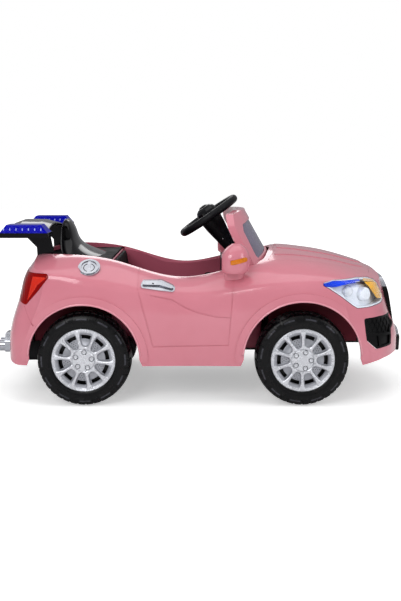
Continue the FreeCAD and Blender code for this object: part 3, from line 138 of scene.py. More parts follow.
def ramp(tree, fac, low, high, start=0.3, end=0.7):
    """A colour that runs from low to high."""
    made = tree.nodes.new("ShaderNodeValToRGB")
    made.color_ramp.elements[0].position = start
    made.color_ramp.elements[0].color = low
    made.color_ramp.elements[1].position = end
    made.color_ramp.elements[1].color = high
    tree.links.new(fac, made.inputs["Fac"])
    return made.outputs["Color"]


def spread(tree, fac, low, high, start=0.3, end=0.7):
    """A value that runs from low to high."""
    made = add_node(tree, "ShaderNodeMapRange",
                    {"From Min": start, "From Max": end, "To Min": low, "To Max": high})
    tree.links.new(fac, made.inputs["Value"])
    return made.outputs["Result"]


def bump(tree, height, distance, strength, normal=None):
    """A normal bent by a height, on top of another normal where there is one."""
    made = add_node(tree, "ShaderNodeBump", {"Strength": strength, "Distance": distance})
    tree.links.new(height, made.inputs["Height"])
    if normal is not None:
        tree.links.new(normal, made.inputs["Normal"])
    return made.outputs["Normal"]


def soft_edges(tree, radius):
    """A normal that is rounded along the edges."""
    made = add_node(tree, "ShaderNodeBevel", {"Radius": radius})
    made.samples = 4
    return made.outputs["Normal"]


def plastic(name, dark, light, rough, coat=0.0, grain=700.0, depth=0.00002, patch=7.0, edge=0.0008,
            metallic=0.0, leather=False, gloss=0.5):
    """A moulded plastic: slow colour drift, smudged gloss, surface grain and softened edges."""
    mat, tree, shader = blank(name)
    where = coords(tree)
    slow = noise(tree, where, patch, 4.0)
    tree.links.new(ramp(tree, slow, dark, light), shader.inputs["Base Color"])
    smudge = noise(tree, where, patch * SMUDGES, 5.0, 0.65)
    smudged = spread(tree, smudge, rough * PLASTIC_ROUGH[0], rough * PLASTIC_ROUGH[1])
    tree.links.new(smudged, shader.inputs["Roughness"])
    shader.inputs["Metallic"].default_value = metallic
    shader.inputs["Specular IOR Level"].default_value = gloss
    if coat:
        shader.inputs["Coat Weight"].default_value = coat
        shader.inputs["Coat Roughness"].default_value = COAT_ROUGH
    height = cells(tree, where, grain) if leather else noise(tree, where, grain, 2.0)
    normal = bump(tree, height, depth, GRAIN_STRENGTH, soft_edges(tree, edge) if edge else None)
    tree.links.new(normal, shader.inputs["Normal"])
    return mat


def clear(name, colour, rough, transmission, ribs=0.0, gloss=0.5, ior=1.49):
    """A clear or tinted lens: slight ripple, light dust in its gloss, moulded ribs where asked for."""
    mat, tree, shader = blank(name)
    where = coords(tree)
    dust = noise(tree, where, DUST, 5.0, 0.7)
    deeper = tuple(c * TINT_SHARE for c in colour[:3]) + (1.0,)
    tree.links.new(ramp(tree, noise(tree, where, TINT), colour, deeper), shader.inputs["Base Color"])
    tree.links.new(spread(tree, dust, rough, rough * 2.2 + 0.01), shader.inputs["Roughness"])
    shader.inputs["Transmission Weight"].default_value = transmission
    shader.inputs["IOR"].default_value = ior
    shader.inputs["Specular IOR Level"].default_value = gloss
    if ribs:
        wave = add_node(tree, "ShaderNodeTexWave", {"Scale": ribs, "Distortion": 0.3})
        tree.links.new(where, wave.inputs["Vector"])
        normal = bump(tree, wave.outputs["Fac"], *RIB_BUMP)
    else:
        normal = bump(tree, noise(tree, where, RIPPLE), *RIPPLE_BUMP)
    tree.links.new(normal, shader.inputs["Normal"])
    return mat


def metal(name, dark, light, rough, flake=0.0, streak=(1, 1, 1), scale=60.0, share=1.0):
    """Bright metal, plating or metallic paint: streaks or flakes in its tone and gloss."""
    mat, tree, shader = blank(name)
    where = coords(tree, streak)
    grain = noise(tree, where, scale, 5.0, 0.65)
    tree.links.new(ramp(tree, grain, dark, light, 0.25, 0.75), shader.inputs["Base Color"])
    brushed = spread(tree, grain, rough * METAL_ROUGH[0], rough * METAL_ROUGH[1])
    tree.links.new(brushed, shader.inputs["Roughness"])
    shader.inputs["Metallic"].default_value = share
    height = cells(tree, where, flake) if flake else grain
    tree.links.new(bump(tree, height, *METAL_BUMP), shader.inputs["Normal"])
    return mat


# Grains that several plastics share
POLISHED = {"grain": 130.0, "depth": 0.000006, "edge": 0.0}
TEXTURED = {"grain": 1500.0, "depth": 0.00004}
LEATHER = {"grain": 1700.0, "depth": 0.00005, "edge": 0.0, "leather": True}
RUBBER = {"grain": 2100.0, "depth": 0.00004, "edge": 0.0}
PAINT_FLAKE = 2600.0

PINK = plastic("pink_gloss", srgb(207, 124, 138), srgb(211, 130, 144), 0.16, coat=0.45, gloss=0.35,
               **POLISHED)
# The body's pink made lighter for the arch lips, as a painted highlight
PINK_LIP_HIGHLIGHT = plastic("pink_lip_painted_highlight", srgb(219, 140, 154), srgb(224, 147, 161), 0.1, coat=0.8, **POLISHED)
# The body's pink darkened to a maroon inside the cockpit, as painted shade
PINK_INSIDE_SHADE = plastic("pink_inside_painted_shade", srgb(168, 78, 98), srgb(176, 86, 106), 0.42, gloss=0.3, **TEXTURED)
# The body's pink darkened to a deep red in the wheel wells, as painted shade
PINK_ARCH_SHADE = plastic("pink_arch_painted_shade", srgb(104, 26, 42), srgb(120, 36, 52), 0.5, gloss=0.2, **TEXTURED)
BLACK_GLOSS = plastic("black_gloss", srgb(8, 8, 11), srgb(13, 12, 17), 0.1, gloss=0.24, **POLISHED)
BLACK_SATIN = plastic("black_satin", srgb(11, 11, 14), srgb(17, 17, 21), 0.42, gloss=0.15, **LEATHER)
BLACK_MATTE = plastic("black_matte", srgb(6, 6, 8), srgb(11, 11, 13), 0.62, gloss=0.08, **LEATHER)
BLACK_DEEP = plastic("black_deep", srgb(5, 5, 6), srgb(9, 9, 11), 0.4, grain=1300.0, depth=0.00004,
                     edge=0.0, gloss=0.12)
TYRE = plastic("tyre_black", srgb(4, 4, 6), srgb(8, 8, 10), 0.3, patch=22.0, gloss=0.2, **RUBBER)
# A lighter rubber that paints the highlights on the sidewall's raised marks
TYRE_HIGHLIGHT = plastic("tyre_painted_highlight", srgb(44, 44, 50), srgb(62, 62, 69), 0.3, patch=30.0, gloss=0.3, **RUBBER)
SILVER = metal("silver_paint", srgb(196, 198, 204), srgb(220, 222, 228), 0.26, flake=PAINT_FLAKE, share=0.5)
# A darker copy of the silver paint, painted shade for the trim's recesses
SILVER_SHADE = metal("silver_paint_painted_shade", srgb(146, 148, 155), srgb(172, 174, 181), 0.36,
                     flake=PAINT_FLAKE, share=0.4)
PLATED = metal("plated_bright", srgb(146, 148, 156), srgb(190, 192, 199), 0.12, scale=26.0, share=0.8)
REFLECTOR = plastic("lamp_reflector", srgb(226, 230, 238), srgb(242, 244, 249), 0.22, grain=300.0,
                    depth=0.00002, patch=40.0, edge=0.0, metallic=0.1)
MIRROR = metal("mirror_foil", srgb(205, 208, 214), srgb(222, 225, 230), 0.05, scale=12.0)
STEEL = metal("drawn_steel", srgb(132, 134, 140), srgb(170, 172, 177), 0.3, streak=(1.0, 0.06, 1.0),
              scale=420.0)
SMOKE = clear("smoke_pane", srgb(152, 147, 172), 0.05, 0.55)
LENS = clear("clear_lens", srgb(248, 250, 253), 0.02, 1.0, ior=1.18)
LAMP = clear("lamp_dome", srgb(246, 248, 252), 0.06, 0.0, ribs=55.0)
AMBER = clear("amber_lens", srgb(240, 172, 0), 0.10, 0.0, ribs=70.0, gloss=0.2)
ORANGE = clear("orange_lens", srgb(222, 124, 8), 0.08, 0.05, ribs=90.0)
BLUE = clear("blue_lens", srgb(3, 6, 166), 0.08, 0.0, gloss=0.03)
BLUE_BAR = clear("blue_bar", srgb(4, 62, 220), 0.06, 0.0, gloss=0.2)
RED = clear("red_lens", srgb(140, 4, 4), 0.06, 0.0, ribs=42.0, gloss=0.12)
RED_LIGHT = clear("red_lens_bright", srgb(216, 44, 26), 0.10, 0.0, ribs=80.0, gloss=0.2)
LED = clear("led_white", srgb(168, 182, 250), 0.1, 0.05)
NYLON = plastic("gear_nylon", srgb(222, 218, 205), srgb(232, 229, 219), 0.5, grain=900.0, depth=0.00003,
                patch=30.0)
BATTERY = plastic("battery_case", srgb(60, 61, 66), srgb(78, 79, 84), 0.5, grain=1600.0, depth=0.00008)

FINISHES = (
    (PINK, "body_shell bonnet windscreen_frame mirror_pods"),
    (PINK_INSIDE_SHADE, "cockpit_tub"),
    (PINK_ARCH_SHADE, "inner_arches"),
    (BLACK_SATIN, "floor_pan dashboard steering_wheel gearbox_case control_box pedal front_axle_beam"),
    (BLACK_SATIN, "knuckle_left knuckle_right tie_rod"),
    (BLACK_MATTE, "seat rear_deck"),
    (BLACK_GLOSS, "headrest wing steering_pad horn_button rear_diffuser chin_spoiler"),
    (BLACK_GLOSS, "sound_button power_switch gear_lever"),
    (BLACK_DEEP, "grille bumper_vents"),
    (TYRE, "tyre_front_left tyre_front_right tyre_rear_left tyre_rear_right"),
    (SILVER, "rim_front_left rim_front_right rim_rear_left rim_rear_right"),
    (PLATED, "filler_cap door_handles exhaust_tips chin_strip grille_surround"),
    (REFLECTOR, "headlamp_housings"),
    (LENS, "headlamp_lenses"),
    (LAMP, "headlamp_lamps"),
    (AMBER, "headlamp_ambers"),
    (ORANGE, "mirror_indicators"),
    (BLUE_BAR, "headlamp_blues"),
    (BLUE, "beacon_lenses"),
    (RED, "tail_lamps"),
    (MIRROR, "mirror_glasses"),
    (SMOKE, "windscreen_pane"),
    (STEEL, "rear_axle steering_shaft pedal_bracket motor motor_pinion"),
    (NYLON, "output_gear reduction_gear"),
    (BATTERY, "battery"),
)
FINISH = {name: mat for mat, names in FINISHES for name in names.split()}
for name, node in NODES.items():
    node.data.materials.clear()
    node.data.materials.append(FINISH[name])


# Meshes

def piece(name, verts, faces, mat, body, sharp=None):
    """A new smooth mesh object that rides on a body. Edges bent by more than sharp degrees stay sharp."""
    mesh = bpy.data.meshes.new(name)
    mesh.from_pydata([tuple(v) for v in verts], [], [tuple(f) for f in faces])
    mesh.update()
    for face in mesh.polygons:
        face.use_smooth = True
    if sharp:
        mesh.set_sharp_from_angle(angle=math.radians(sharp))
    obj = bpy.data.objects.new(name, mesh)
    bpy.context.scene.collection.objects.link(obj)
    obj.data.materials.append(mat)
    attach(obj, body)
    return obj


def ring_faces(rows, columns, closed_rows=False, first=0):
    """Quads of a grid whose columns run round a ring, from the first vertex on."""
    faces = []
    for j in range(rows if closed_rows else rows - 1):
        a, b = first + j * columns, first + (j + 1) % rows * columns
        for i in range(columns):
            n = (i + 1) % columns
            faces.append((a + i, a + n, b + n, b + i))
    return faces


def tube_faces(rows, columns, flip=False):
    """Quads and end caps of a tube made of rows of vertices, facing the other way if flipped."""
    faces = ring_faces(rows, columns)
    last = (rows - 1) * columns
    ends = [tuple(range(columns))[::-1], tuple(range(last, last + columns))]
    if flip:
        faces = [(a, d, c, b) for a, b, c, d in faces]
        ends = [end[::-1] for end in ends]
    return faces + ends


# The tyre's moulding, in mm and degrees
BLOCKS = 36                         # blocks round each shoulder
BLOCK = 360.0 / BLOCKS
BLOCK_POINTS = (-1.35, -1.05, 1.05, 1.35, 2.5, 3.65, 3.95, 6.05, 6.35, 7.5)
GAP = 1.2                           # half the gap between two blocks
GAP_DEEP, GAP_INSET = 2.0, 1.6      # its depth below the shoulder and in the sidewall
SHOULDER = 18                       # how far the blocks reach in from the sidewalls
CROWN, CROWN_START = 3.0, 10.0      # the tread's bulge, and where it starts
GROOVE_END = 28.0                   # the inner edge of the two grooves
TREAD_START, TREAD_CUT, TREAD_SWEEP = 28.3, 2.4, 5.5    # the chevrons between them
# Half of the tread: how far in, and how deep the groove is there
TREAD_HALF = ((10, 0), (17, 0), (24, 0), (24.6, 2.6), (28, 2.6), (28.6, 0), (35, 0))
# The sidewall from the bead ridge to the shoulder: share of its height, and how far in
SIDEWALL = ((0.30, 0.7), (0.40, 0.4), (0.42, 0.4), (0.50, 0.4), (0.52, 0.5), (0.59, 0.7), (0.625, 0.9),
            (0.64, 0.9), (0.75, 1.6), (0.85, 2.6), (0.93, 4.4), (0.975, 6.8))
LUG_START = 0.635                   # share of the sidewall's height where the gaps start
WALL_DEEP, FACE_DEEP = 9, 1         # depths that end the sidewall's shoulder and its flat face
# The marks on the sidewall: pitch, depth, and for each kind its angles and its share of the height; the
# raised marks also have the band where their painted highlight lies
MARK, MARK_DEEP = 30.0, 0.5
SUNK_MARK, SUNK_BAND = (3.0, 21.0), (0.41, 0.51)
RAISED_MARK, RAISED_BAND, HIGHLIGHT_BAND = (12.0, 27.0), (0.61, 0.65), (0.64, 0.75)
QUARTER, PAUSE = 90, 10             # the sunk marks pause at the start of each quarter
HIGHLIGHT_DEEP = 3                     # the painted highlight stays this close to the outer face


def within(value, limits):
    """Whether a value lies between two limits."""
    return limits[0] < value < limits[1]


def tyre(side, axle_x, name, body, turn):
    """A moulded tyre: shoulder blocks, a chevron tread, ringed sidewalls, and the web and hub inside."""
    seat, wide = RIM_R * 1000 + 0.4, TYRE_W * 1000
    mid = wide / 2
    side_r = TYRE_R * 1000 - CROWN
    wall = side_r - seat

    def crown(depth):
        return side_r + CROWN - CROWN * ((depth - mid) / (mid - CROWN_START)) ** 2

    # The section, as radius and depth from the outer face: bead, sidewall, tread, inner sidewall, web and hub
    profile = [(seat, 9), (seat, 3.4), (seat + 1.8, 2.2), (seat + 4.5, 1.6), (seat + 5, 0.9),
               (seat + 6.4, 0.9), (seat + 7, 1.4)]
    profile += [(seat + wall * share, depth) for share, depth in SIDEWALL]
    profile += [(crown(depth) - cut, depth) for depth, cut in TREAD_HALF + ((mid, 0),)]
    profile += [(crown(depth) - cut, wide - depth) for depth, cut in TREAD_HALF[::-1]]
    profile += [(side_r - 0.9, wide - 6.8), (side_r - 2.6, wide - 4.4), (side_r - 5, wide - 2.6),
                (side_r - 9, wide - 0.8), (side_r - 12, wide - 0.6), (side_r - 11, wide - 4),
                (side_r - 6.5, wide - 12), (side_r - 6.5, 14), (side_r - 12, 8), (seat + 7.6, 8),
                (seat + 5.6, 10), (seat + 5.6, 36), (20, 36), (20, wide - 0.4), (18, wide), (6.2, wide),
                (6.2, 16.4), (19.6, 16.4), (19.6, 28), (seat - 8.6, 28), (seat - 8.6, 12), (seat, 12)]
    angles = [BLOCK * block + a for block in range(BLOCKS) for a in BLOCK_POINTS]
    lug = seat + LUG_START * wall
    verts = []
    for radius, depth in profile:
        part = (radius - seat) / wall
        for a in angles:
            near = (a + BLOCK / 2) % BLOCK - BLOCK / 2
            far = a % BLOCK - BLOCK / 2
            mark = a % MARK
            rr, dd, aa = radius, depth, a
            if radius > lug and depth < SHOULDER and abs(near) < GAP:
                rr = min(rr, side_r - GAP_DEEP)
                dd = depth + (GAP_INSET if depth < WALL_DEEP else 0.0)
            if radius > lug and wide - SHOULDER < depth < wide - 1 and abs(far) < GAP:
                rr = min(rr, side_r - GAP_DEEP)
            if TREAD_START < depth < wide - TREAD_START and radius > side_r:
                if abs(near) < GAP:
                    rr = radius - TREAD_CUT
                aa = a + TREAD_SWEEP * (1 - abs(depth - mid) / (mid - GROOVE_END))
            if depth < FACE_DEEP and within(part, SUNK_BAND):
                dd = depth + (MARK_DEEP if within(mark, SUNK_MARK) and a % QUARTER > PAUSE else 0.0)
            if depth < FACE_DEEP and within(part, RAISED_BAND):
                dd = depth - (MARK_DEEP if within(mark, RAISED_MARK) else 0.0)
            t = math.radians(aa + turn)
            verts.append((axle_x + rr * math.cos(t) / 1000, side * (OUTER_FACE - dd / 1000),
                          AXLE_Z + rr * math.sin(t) / 1000))
    faces = ring_faces(len(profile), len(angles), closed_rows=True)
    if side > 0:
        faces = [f[::-1] for f in faces]
    obj = piece(name + "_moulding", verts, faces, TYRE, body, sharp=32)
    # The raised marks on the outer face get the lighter rubber, a painted highlight on their ribs
    obj.data.materials.append(TYRE_HIGHLIGHT)
    for face in obj.data.polygons:
        x, z = face.center.x - axle_x, face.center.z - AXLE_Z
        part = (math.hypot(x, z) * 1000 - seat) / wall
        mark = (math.degrees(math.atan2(z, x)) - turn) % MARK
        outer = abs(face.center.y) * 1000 > OUTER_FACE * 1000 - HIGHLIGHT_DEEP
        if outer and within(part, HIGHLIGHT_BAND) and within(mark, RAISED_MARK):
            face.material_index = 1
    return obj


def softmin(a, b, k):
    """The smaller of two values, blended over k where they are close."""
    h = np.clip(0.5 + 0.5 * (b - a) / k, 0.0, 1.0)
    return b * (1 - h) + a * h - k * h * (1 - h)


def step(x, low, high):
    """A smooth rise from 0 at low to 1 at high."""
    t = np.clip((x - low) / (high - low), 0.0, 1.0)
    return t * t * (3 - 2 * t)


# The wheel trim is drawn 78 units in radius and in mm of depth, with angles in degrees
RIM_UNIT = RIM_R / 78.0
SPOKE, NUT = 36.0, 72.0             # pitch of the ten spokes and of the five nuts
NUT_CIRCLE = 20.4
NUT_GROOVE = (5.3, 6.2)             # the ring round each nut, painted black as shade in its groove
SLOT_SPAN, SLOT_HALF = (53.0, 62.2), 11.0   # the open slots: inner and outer radius, half angle
SLOT_WALL, TRIM_WALL = 0.010, 0.012     # how deep in metres the slots' and the trim's own walls reach
SHADED, SHADED_SPAN = 4.6, (27, 75)     # painted shade in the recesses: from this depth on, and between these radii
TRIM_RADII = [0.6, *np.arange(3.0, 14.1, 2.2), *np.arange(15.0, 27.1, 0.6), *np.arange(27.8, 52.5, 1.15),
              53.0, 54.4, 56.0, 58.0, 60.0, 61.4, 62.2, 62.8, 63.4, 64.0, 65.0, 66.0, 66.4, 66.8, 68.0,
              69.4, 69.8, 70.2, 71.4, 72.4, 72.8, 73.2, 74.2, 74.8, 75.3, 75.8, 76.4, 77.2, 78.0]
TRIM_ANGLES, SNAP = 540, 0.34       # angles round the trim, and how far one moves to a slot's side


def rim_depth(radius, angle):
    """How deep in mm the wheel trim's face lies at a radius in its units and an angle from a nut."""
    # Which pocket between two spokes, and how far the place is from the nearest spoke's flank
    pocket = np.floor((angle + SPOKE / 2) / SPOKE)
    inside = angle - SPOKE * pocket
    nut_side = np.mod(pocket, 2) == 0
    across = radius * np.sin(np.radians(SPOKE / 2 - np.abs(inside)))
    half = 3.1 + 2.9 * step(radius, 50, 76) + 1.4 * (1 - step(radius, 28, 40))
    room = softmin(across - half, radius - np.where(nut_side, 33.5, 29.0), 7.0)
    # The floor of the pockets, and the stepped ring outside them
    disc = 9.0 + 4.0 * step(radius, 27, 52) + np.where(nut_side, -1.5 * (1 - step(radius, 34, 46)), 0.0)
    ring = 7.6 - 2.2 * step(radius, 66.0, 66.8) - 1.2 * step(radius, 69.4, 70.2)
    ring = ring - 0.9 * step(radius, 72.4, 73.2)
    low = disc + (ring - disc) * step(radius, 62.6, 64.0)
    # The crowned spokes and the hub
    crown = 1.3 * np.clip(1 - (across / np.maximum(half, 0.1)) ** 2, 0, 1) * step(radius, 27, 33)
    crown = crown * (1 - step(radius, 70, 76))
    top = 3.9 - 1.0 * step(radius, 34, 66) - crown
    top = top + 1.3 * step(radius, 25.6, 26.4) * (1 - step(radius, 27.4, 28.6))
    hub = 2.6 - 0.5 * (1 - step(radius, 8, 24))
    top = np.where(radius < 26, hub, top)
    face = top + (low - top) * step(room, 0.0, 2.2)
    # The lip at the edge
    lip = 2.2 + 1.6 * step(radius, 76.4, 78.0)
    face = face + (lip - face) * step(radius, 74.8, 75.8)
    # The nuts in their wells
    turn = np.radians(angle - NUT * np.round(angle / NUT))
    away = np.hypot(radius * np.cos(turn) - NUT_CIRCLE, radius * np.sin(turn))
    well = 2.2 * (1 - step(away, 5.9, 6.6))
    cap = 3.6 * (1 - step(away, 4.2, 5.2)) - 0.8 * (1 - step(away, 1.8, 2.6))
    return face + well - cap


def trim_angles():
    """Even angles round the trim, with the nearest ones moved to the sides of the slots."""
    snapped = []
    for a in np.linspace(0.0, 360.0, TRIM_ANGLES + 1)[:-1]:
        off = (a + SPOKE / 2) % SPOKE - SPOKE / 2
        for limit in (-SLOT_HALF, SLOT_HALF):
            if abs(off - limit) < SNAP:
                a = a - off + limit
        snapped.append(a)
    return np.array(sorted(set(np.round(snapped, 4))))


def rim(side, axle_x, name, body, turn):
    """A ten-spoke wheel trim with slots, pockets and five nuts."""
    angles = trim_angles()
    columns = len(angles)
    verts = []
    for radius in TRIM_RADII:
        depth = rim_depth(np.full(columns, radius), angles)
        for i in range(columns):
            t = math.radians(angles[i] + turn)
            verts.append((axle_x + radius * RIM_UNIT * math.cos(t), side * (OUTER_FACE - depth[i] / 1000),
                          AXLE_Z + radius * RIM_UNIT * math.sin(t)))
    faces, open_quads = [], []
    for quad in ring_faces(len(TRIM_RADII), columns):
        j, i = divmod(quad[0], columns)
        middle = (TRIM_RADII[j] + TRIM_RADII[j + 1]) / 2
        span = (angles[(i + 1) % columns] - angles[i]) % 360.0
        off = (angles[i] + span / 2 + SPOKE / 2) % SPOKE - SPOKE / 2
        in_slot = within(middle, SLOT_SPAN) and abs(off) < SLOT_HALF
        (open_quads if in_slot else faces).append(quad)
    faces.append(tuple(range(columns))[::-1])
    # Walls go down from each edge between the face and an open slot
    used = {(f[k], f[(k + 1) % len(f)]) for f in faces for k in range(len(f))}
    cut = {(f[k], f[(k + 1) % 4]) for f in open_quads for k in range(4) if (f[(k + 1) % 4], f[k]) in used}
    deep = {}
    walls_start = len(faces)
    for a, b in sorted(cut):
        for v in (a, b):
            if v not in deep:
                x, y, z = verts[v]
                deep[v] = len(verts)
                verts.append((x, y - side * SLOT_WALL, z))
        faces.append((a, b, deep[b], deep[a]))
    walls_end = len(faces)
    # The trim's own outer wall
    last, skirt = (len(TRIM_RADII) - 1) * columns, len(verts)
    for x, _, z in verts[last:last + columns]:
        verts.append((x, side * (OUTER_FACE - TRIM_WALL), z))
    for i in range(columns):
        n = (i + 1) % columns
        faces.append((last + i, last + n, skirt + n, skirt + i))
    if side > 0:
        faces = [f[::-1] for f in faces]
    obj = piece(name + "_trim", verts, faces, SILVER, body)
    obj.data.materials.append(SILVER_SHADE)
    # Black for the slots' walls and the nut grooves, as painted shade
    obj.data.materials.append(BLACK_DEEP)
    nut_pitch = math.radians(NUT)
    for face in obj.data.polygons:
        x, z = face.center.x - axle_x, face.center.z - AXLE_Z
        depth = (OUTER_FACE - abs(face.center.y)) * 1000
        out = math.hypot(x, z) / RIM_UNIT
        angle = math.atan2(z, x) - math.radians(turn)
        nut = angle - nut_pitch * round(angle / nut_pitch)
        away = math.hypot(out * math.cos(nut) - NUT_CIRCLE, out * math.sin(nut))
        # The slots' walls and the grooves round the nuts are painted black: painted shade in the openings and
        # grooves
        if walls_start <= face.index < walls_end or within(away, NUT_GROOVE):
            face.material_index = 2
        # Deeper faces in the pockets and ring get the darker silver, as painted shade
        elif depth > SHADED and within(out, SHADED_SPAN):
            face.material_index = 1
    return obj


# The drillings in a pocket: radius in the trim's units and degrees from the pocket's middle
DRILLINGS = ((35, -5.5), (35, 5.5), (40, -1.5), (40.5, 6.0), (45, -6.0), (45, 2.0), (49.5, -2.5), (49.5, 6.0))
# A drilling's rings from the outside in: radius and height over the pocket's floor
DRILLING_RINGS = ((0.0011, 0.00025), (0.0008, 0.00025), (0.0007, 0.0001))
DRILLING_POINTS = 10


def drilled(side, axle_x, name, body, turn):
    """Rows of small drillings in the pockets between the nuts, each a black ring with a sunk middle; the
    black is painted shade for the hole.
    """
    verts, faces = [], []
    for k in range(5):
        for radius, off in DRILLINGS:
            angle = NUT * k + SPOKE + off
            deep = float(rim_depth(np.array([float(radius)]), np.array([angle % 360.0]))[0])
            t = math.radians(angle + turn)
            cx = axle_x + radius * RIM_UNIT * math.cos(t)
            cz = AXLE_Z + radius * RIM_UNIT * math.sin(t)
            start = len(verts)
            for size, lift in DRILLING_RINGS:
                y = side * (OUTER_FACE - deep / 1000 + lift)
                for i in range(DRILLING_POINTS):
                    u = 2 * math.pi * i / DRILLING_POINTS
                    verts.append((cx + size * math.cos(u), y, cz + size * math.sin(u)))
            faces += ring_faces(len(DRILLING_RINGS), DRILLING_POINTS, first=start)
            faces.append(tuple(range(len(verts) - DRILLING_POINTS, len(verts))))
    if side < 0:
        faces = [f[::-1] for f in faces]
    return piece(name + "_drillings", verts, faces, BLACK_DEEP, body)


WHEELS = [("front_left", 1, FRONT_X, "front_wheel_left", FRONT_TURN),
          ("front_right", -1, FRONT_X, "front_wheel_right", FRONT_TURN),
          ("rear_left", 1, REAR_X, "rear_wheel_left", REAR_TURN),
          ("rear_right", -1, REAR_X, "rear_wheel_right", REAR_TURN)]
for label, side, axle_x, body, turn in WHEELS:
    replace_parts(tyre(side, axle_x, "tyre_" + label, body, turn), "tyre_" + label)
    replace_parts(rim(side, axle_x, "rim_" + label, body, turn), "rim_" + label)
    drilled(side, axle_x, "rim_" + label, body, turn)


# Pieces set on the solids' skins

def surface(node):
    """A node's skin, for setting pieces on it."""
    mesh = NODES[node].data
    return BVHTree.FromPolygons([v.co for v in mesh.vertices], [tuple(p.vertices) for p in mesh.polygons])


def studs(name, node, spots, size, rise, mat, body):
    """Small domed ovals on a node's skin, each found by a start and a way to look."""
    skin = surface(node)
    count = 16
    dome = ((1.0, -0.4), (1.0, 0.5), (0.8, 0.9), (0.3, 1.0))
    verts, faces = [], []
    for start, way in spots:
        place, normal, _, _ = skin.ray_cast(Vector(start), Vector(way))
        along = Vector((1, 0, 0)) - normal * normal.x
        along.normalize()
        across = normal.cross(along)
        first = len(verts)
        for grow, up in dome:
            for k in range(count):
                t = 2 * math.pi * k / count
                verts.append(place + along * size[0] * grow * math.cos(t)
                             + across * size[1] * grow * math.sin(t) + normal * rise * up)
        faces += ring_faces(len(dome), count, first=first)
        faces.append(tuple(range(len(verts) - count, len(verts))))
        faces.append(tuple(range(first, first + count))[::-1])
    return piece(name, verts, faces, mat, body)


def filled(outline, pitch):
    """Points with their distance from the edge, and triangles, that fill an outline."""
    ring = []
    for k, corner in enumerate(outline):
        a, b = Vector(corner), Vector(outline[(k + 1) % len(outline)])
        parts = max(1, int((b - a).length / pitch))
        ring += [a.lerp(b, i / parts) for i in range(parts)]
    sides = [(i, (i + 1) % len(ring)) for i in range(len(ring))]

    def room(p):
        best, inside = 1.0, False
        for i, j in sides:
            a, b = ring[i], ring[j]
            t = min(1.0, max(0.0, (p - a).dot(b - a) / (b - a).length_squared))
            best = min(best, (a.lerp(b, t) - p).length)
            if (a.y > p.y) != (b.y > p.y) and p.x < a.x + (p.y - a.y) * (b.x - a.x) / (b.y - a.y):
                inside = not inside
        return best if inside else -best

    xs, ys = [p.x for p in ring], [p.y for p in ring]
    points = list(ring)
    for i in range(int((max(xs) - min(xs)) / pitch)):
        for j in range(int((max(ys) - min(ys)) / pitch)):
            spot = Vector((min(xs) + (i + 0.5) * pitch, min(ys) + (j + 0.5) * pitch))
            if room(spot) > 0.5 * pitch:
                points.append(spot)
    made = delaunay_2d_cdt(points, sides, [list(range(len(ring)))], 1, 1e-7)
    return [(p, room(p)) for p in made[0]], [tuple(f) for f in made[2]]


def inlaid(name, node, outline, side, rise, bevel, mat, body):
    """A thin raised plate over part of a node's side, bevelled round its outline of (x, z)."""
    pitch, lift = 0.002, 0.00005
    skin = surface(node)
    points, faces = filled(outline, pitch)
    verts = []
    for p, room in points:
        start = Vector((p.x, side * OUTSIDE, p.y))
        place, normal, _, _ = skin.ray_cast(start, Vector((0, -side, 0)))
        verts.append(place + normal * (rise * min(1.0, max(0.0, room) / bevel) + lift))
    if side > 0:
        faces = [f[::-1] for f in faces]
    return piece(name, verts, faces, mat, body)


def bead(name, node, path, side, thick, mat, body):
    """A round bead that runs over a node's side through points of (x, z)."""
    skin = surface(node)
    way_in = Vector((0, -side, 0))
    spots = [skin.ray_cast(Vector((x, side * OUTSIDE, z)), way_in)[:2] for x, z in path]
    spots = [spot for spot in spots if spot[0]]
    count = 8
    verts = []
    for k, (place, normal) in enumerate(spots):
        way = (spots[min(k + 1, len(spots) - 1)][0] - spots[max(k - 1, 0)][0]).normalized()
        across = way.cross(normal)
        for n in range(count):
            t = 2 * math.pi * n / count
            verts.append(place + (normal * math.cos(t) + across * math.sin(t)) * thick)
    return piece(name, verts, tube_faces(len(spots), count), mat, body)


def arc(x, z, wide, high, degrees):
    """Points of (x, z) along part of an oval."""
    turns = [math.radians(a) for a in degrees]
    return [(x + wide * math.cos(t), z + high * math.sin(t)) for t in turns]


# The rolled lips of the wheel arches, in a lighter pink that paints their highlight
LIP_THICK, LIP_ANGLES = 0.0025, range(4, 177, 2)
FRONT_LIP_R, REAR_LIP_R = 0.1495, 0.1415
for side, label in SIDES:
    for axle_x, radius, end in ((FRONT_X, FRONT_LIP_R, "front"), (REAR_X, REAR_LIP_R, "rear")):
        arch = arc(axle_x, AXLE_Z, radius, radius, LIP_ANGLES)
        bead("arch_lip_%s_%s" % (end, label), "body_shell", arch, side, LIP_THICK, PINK_LIP_HIGHLIGHT, "chassis")


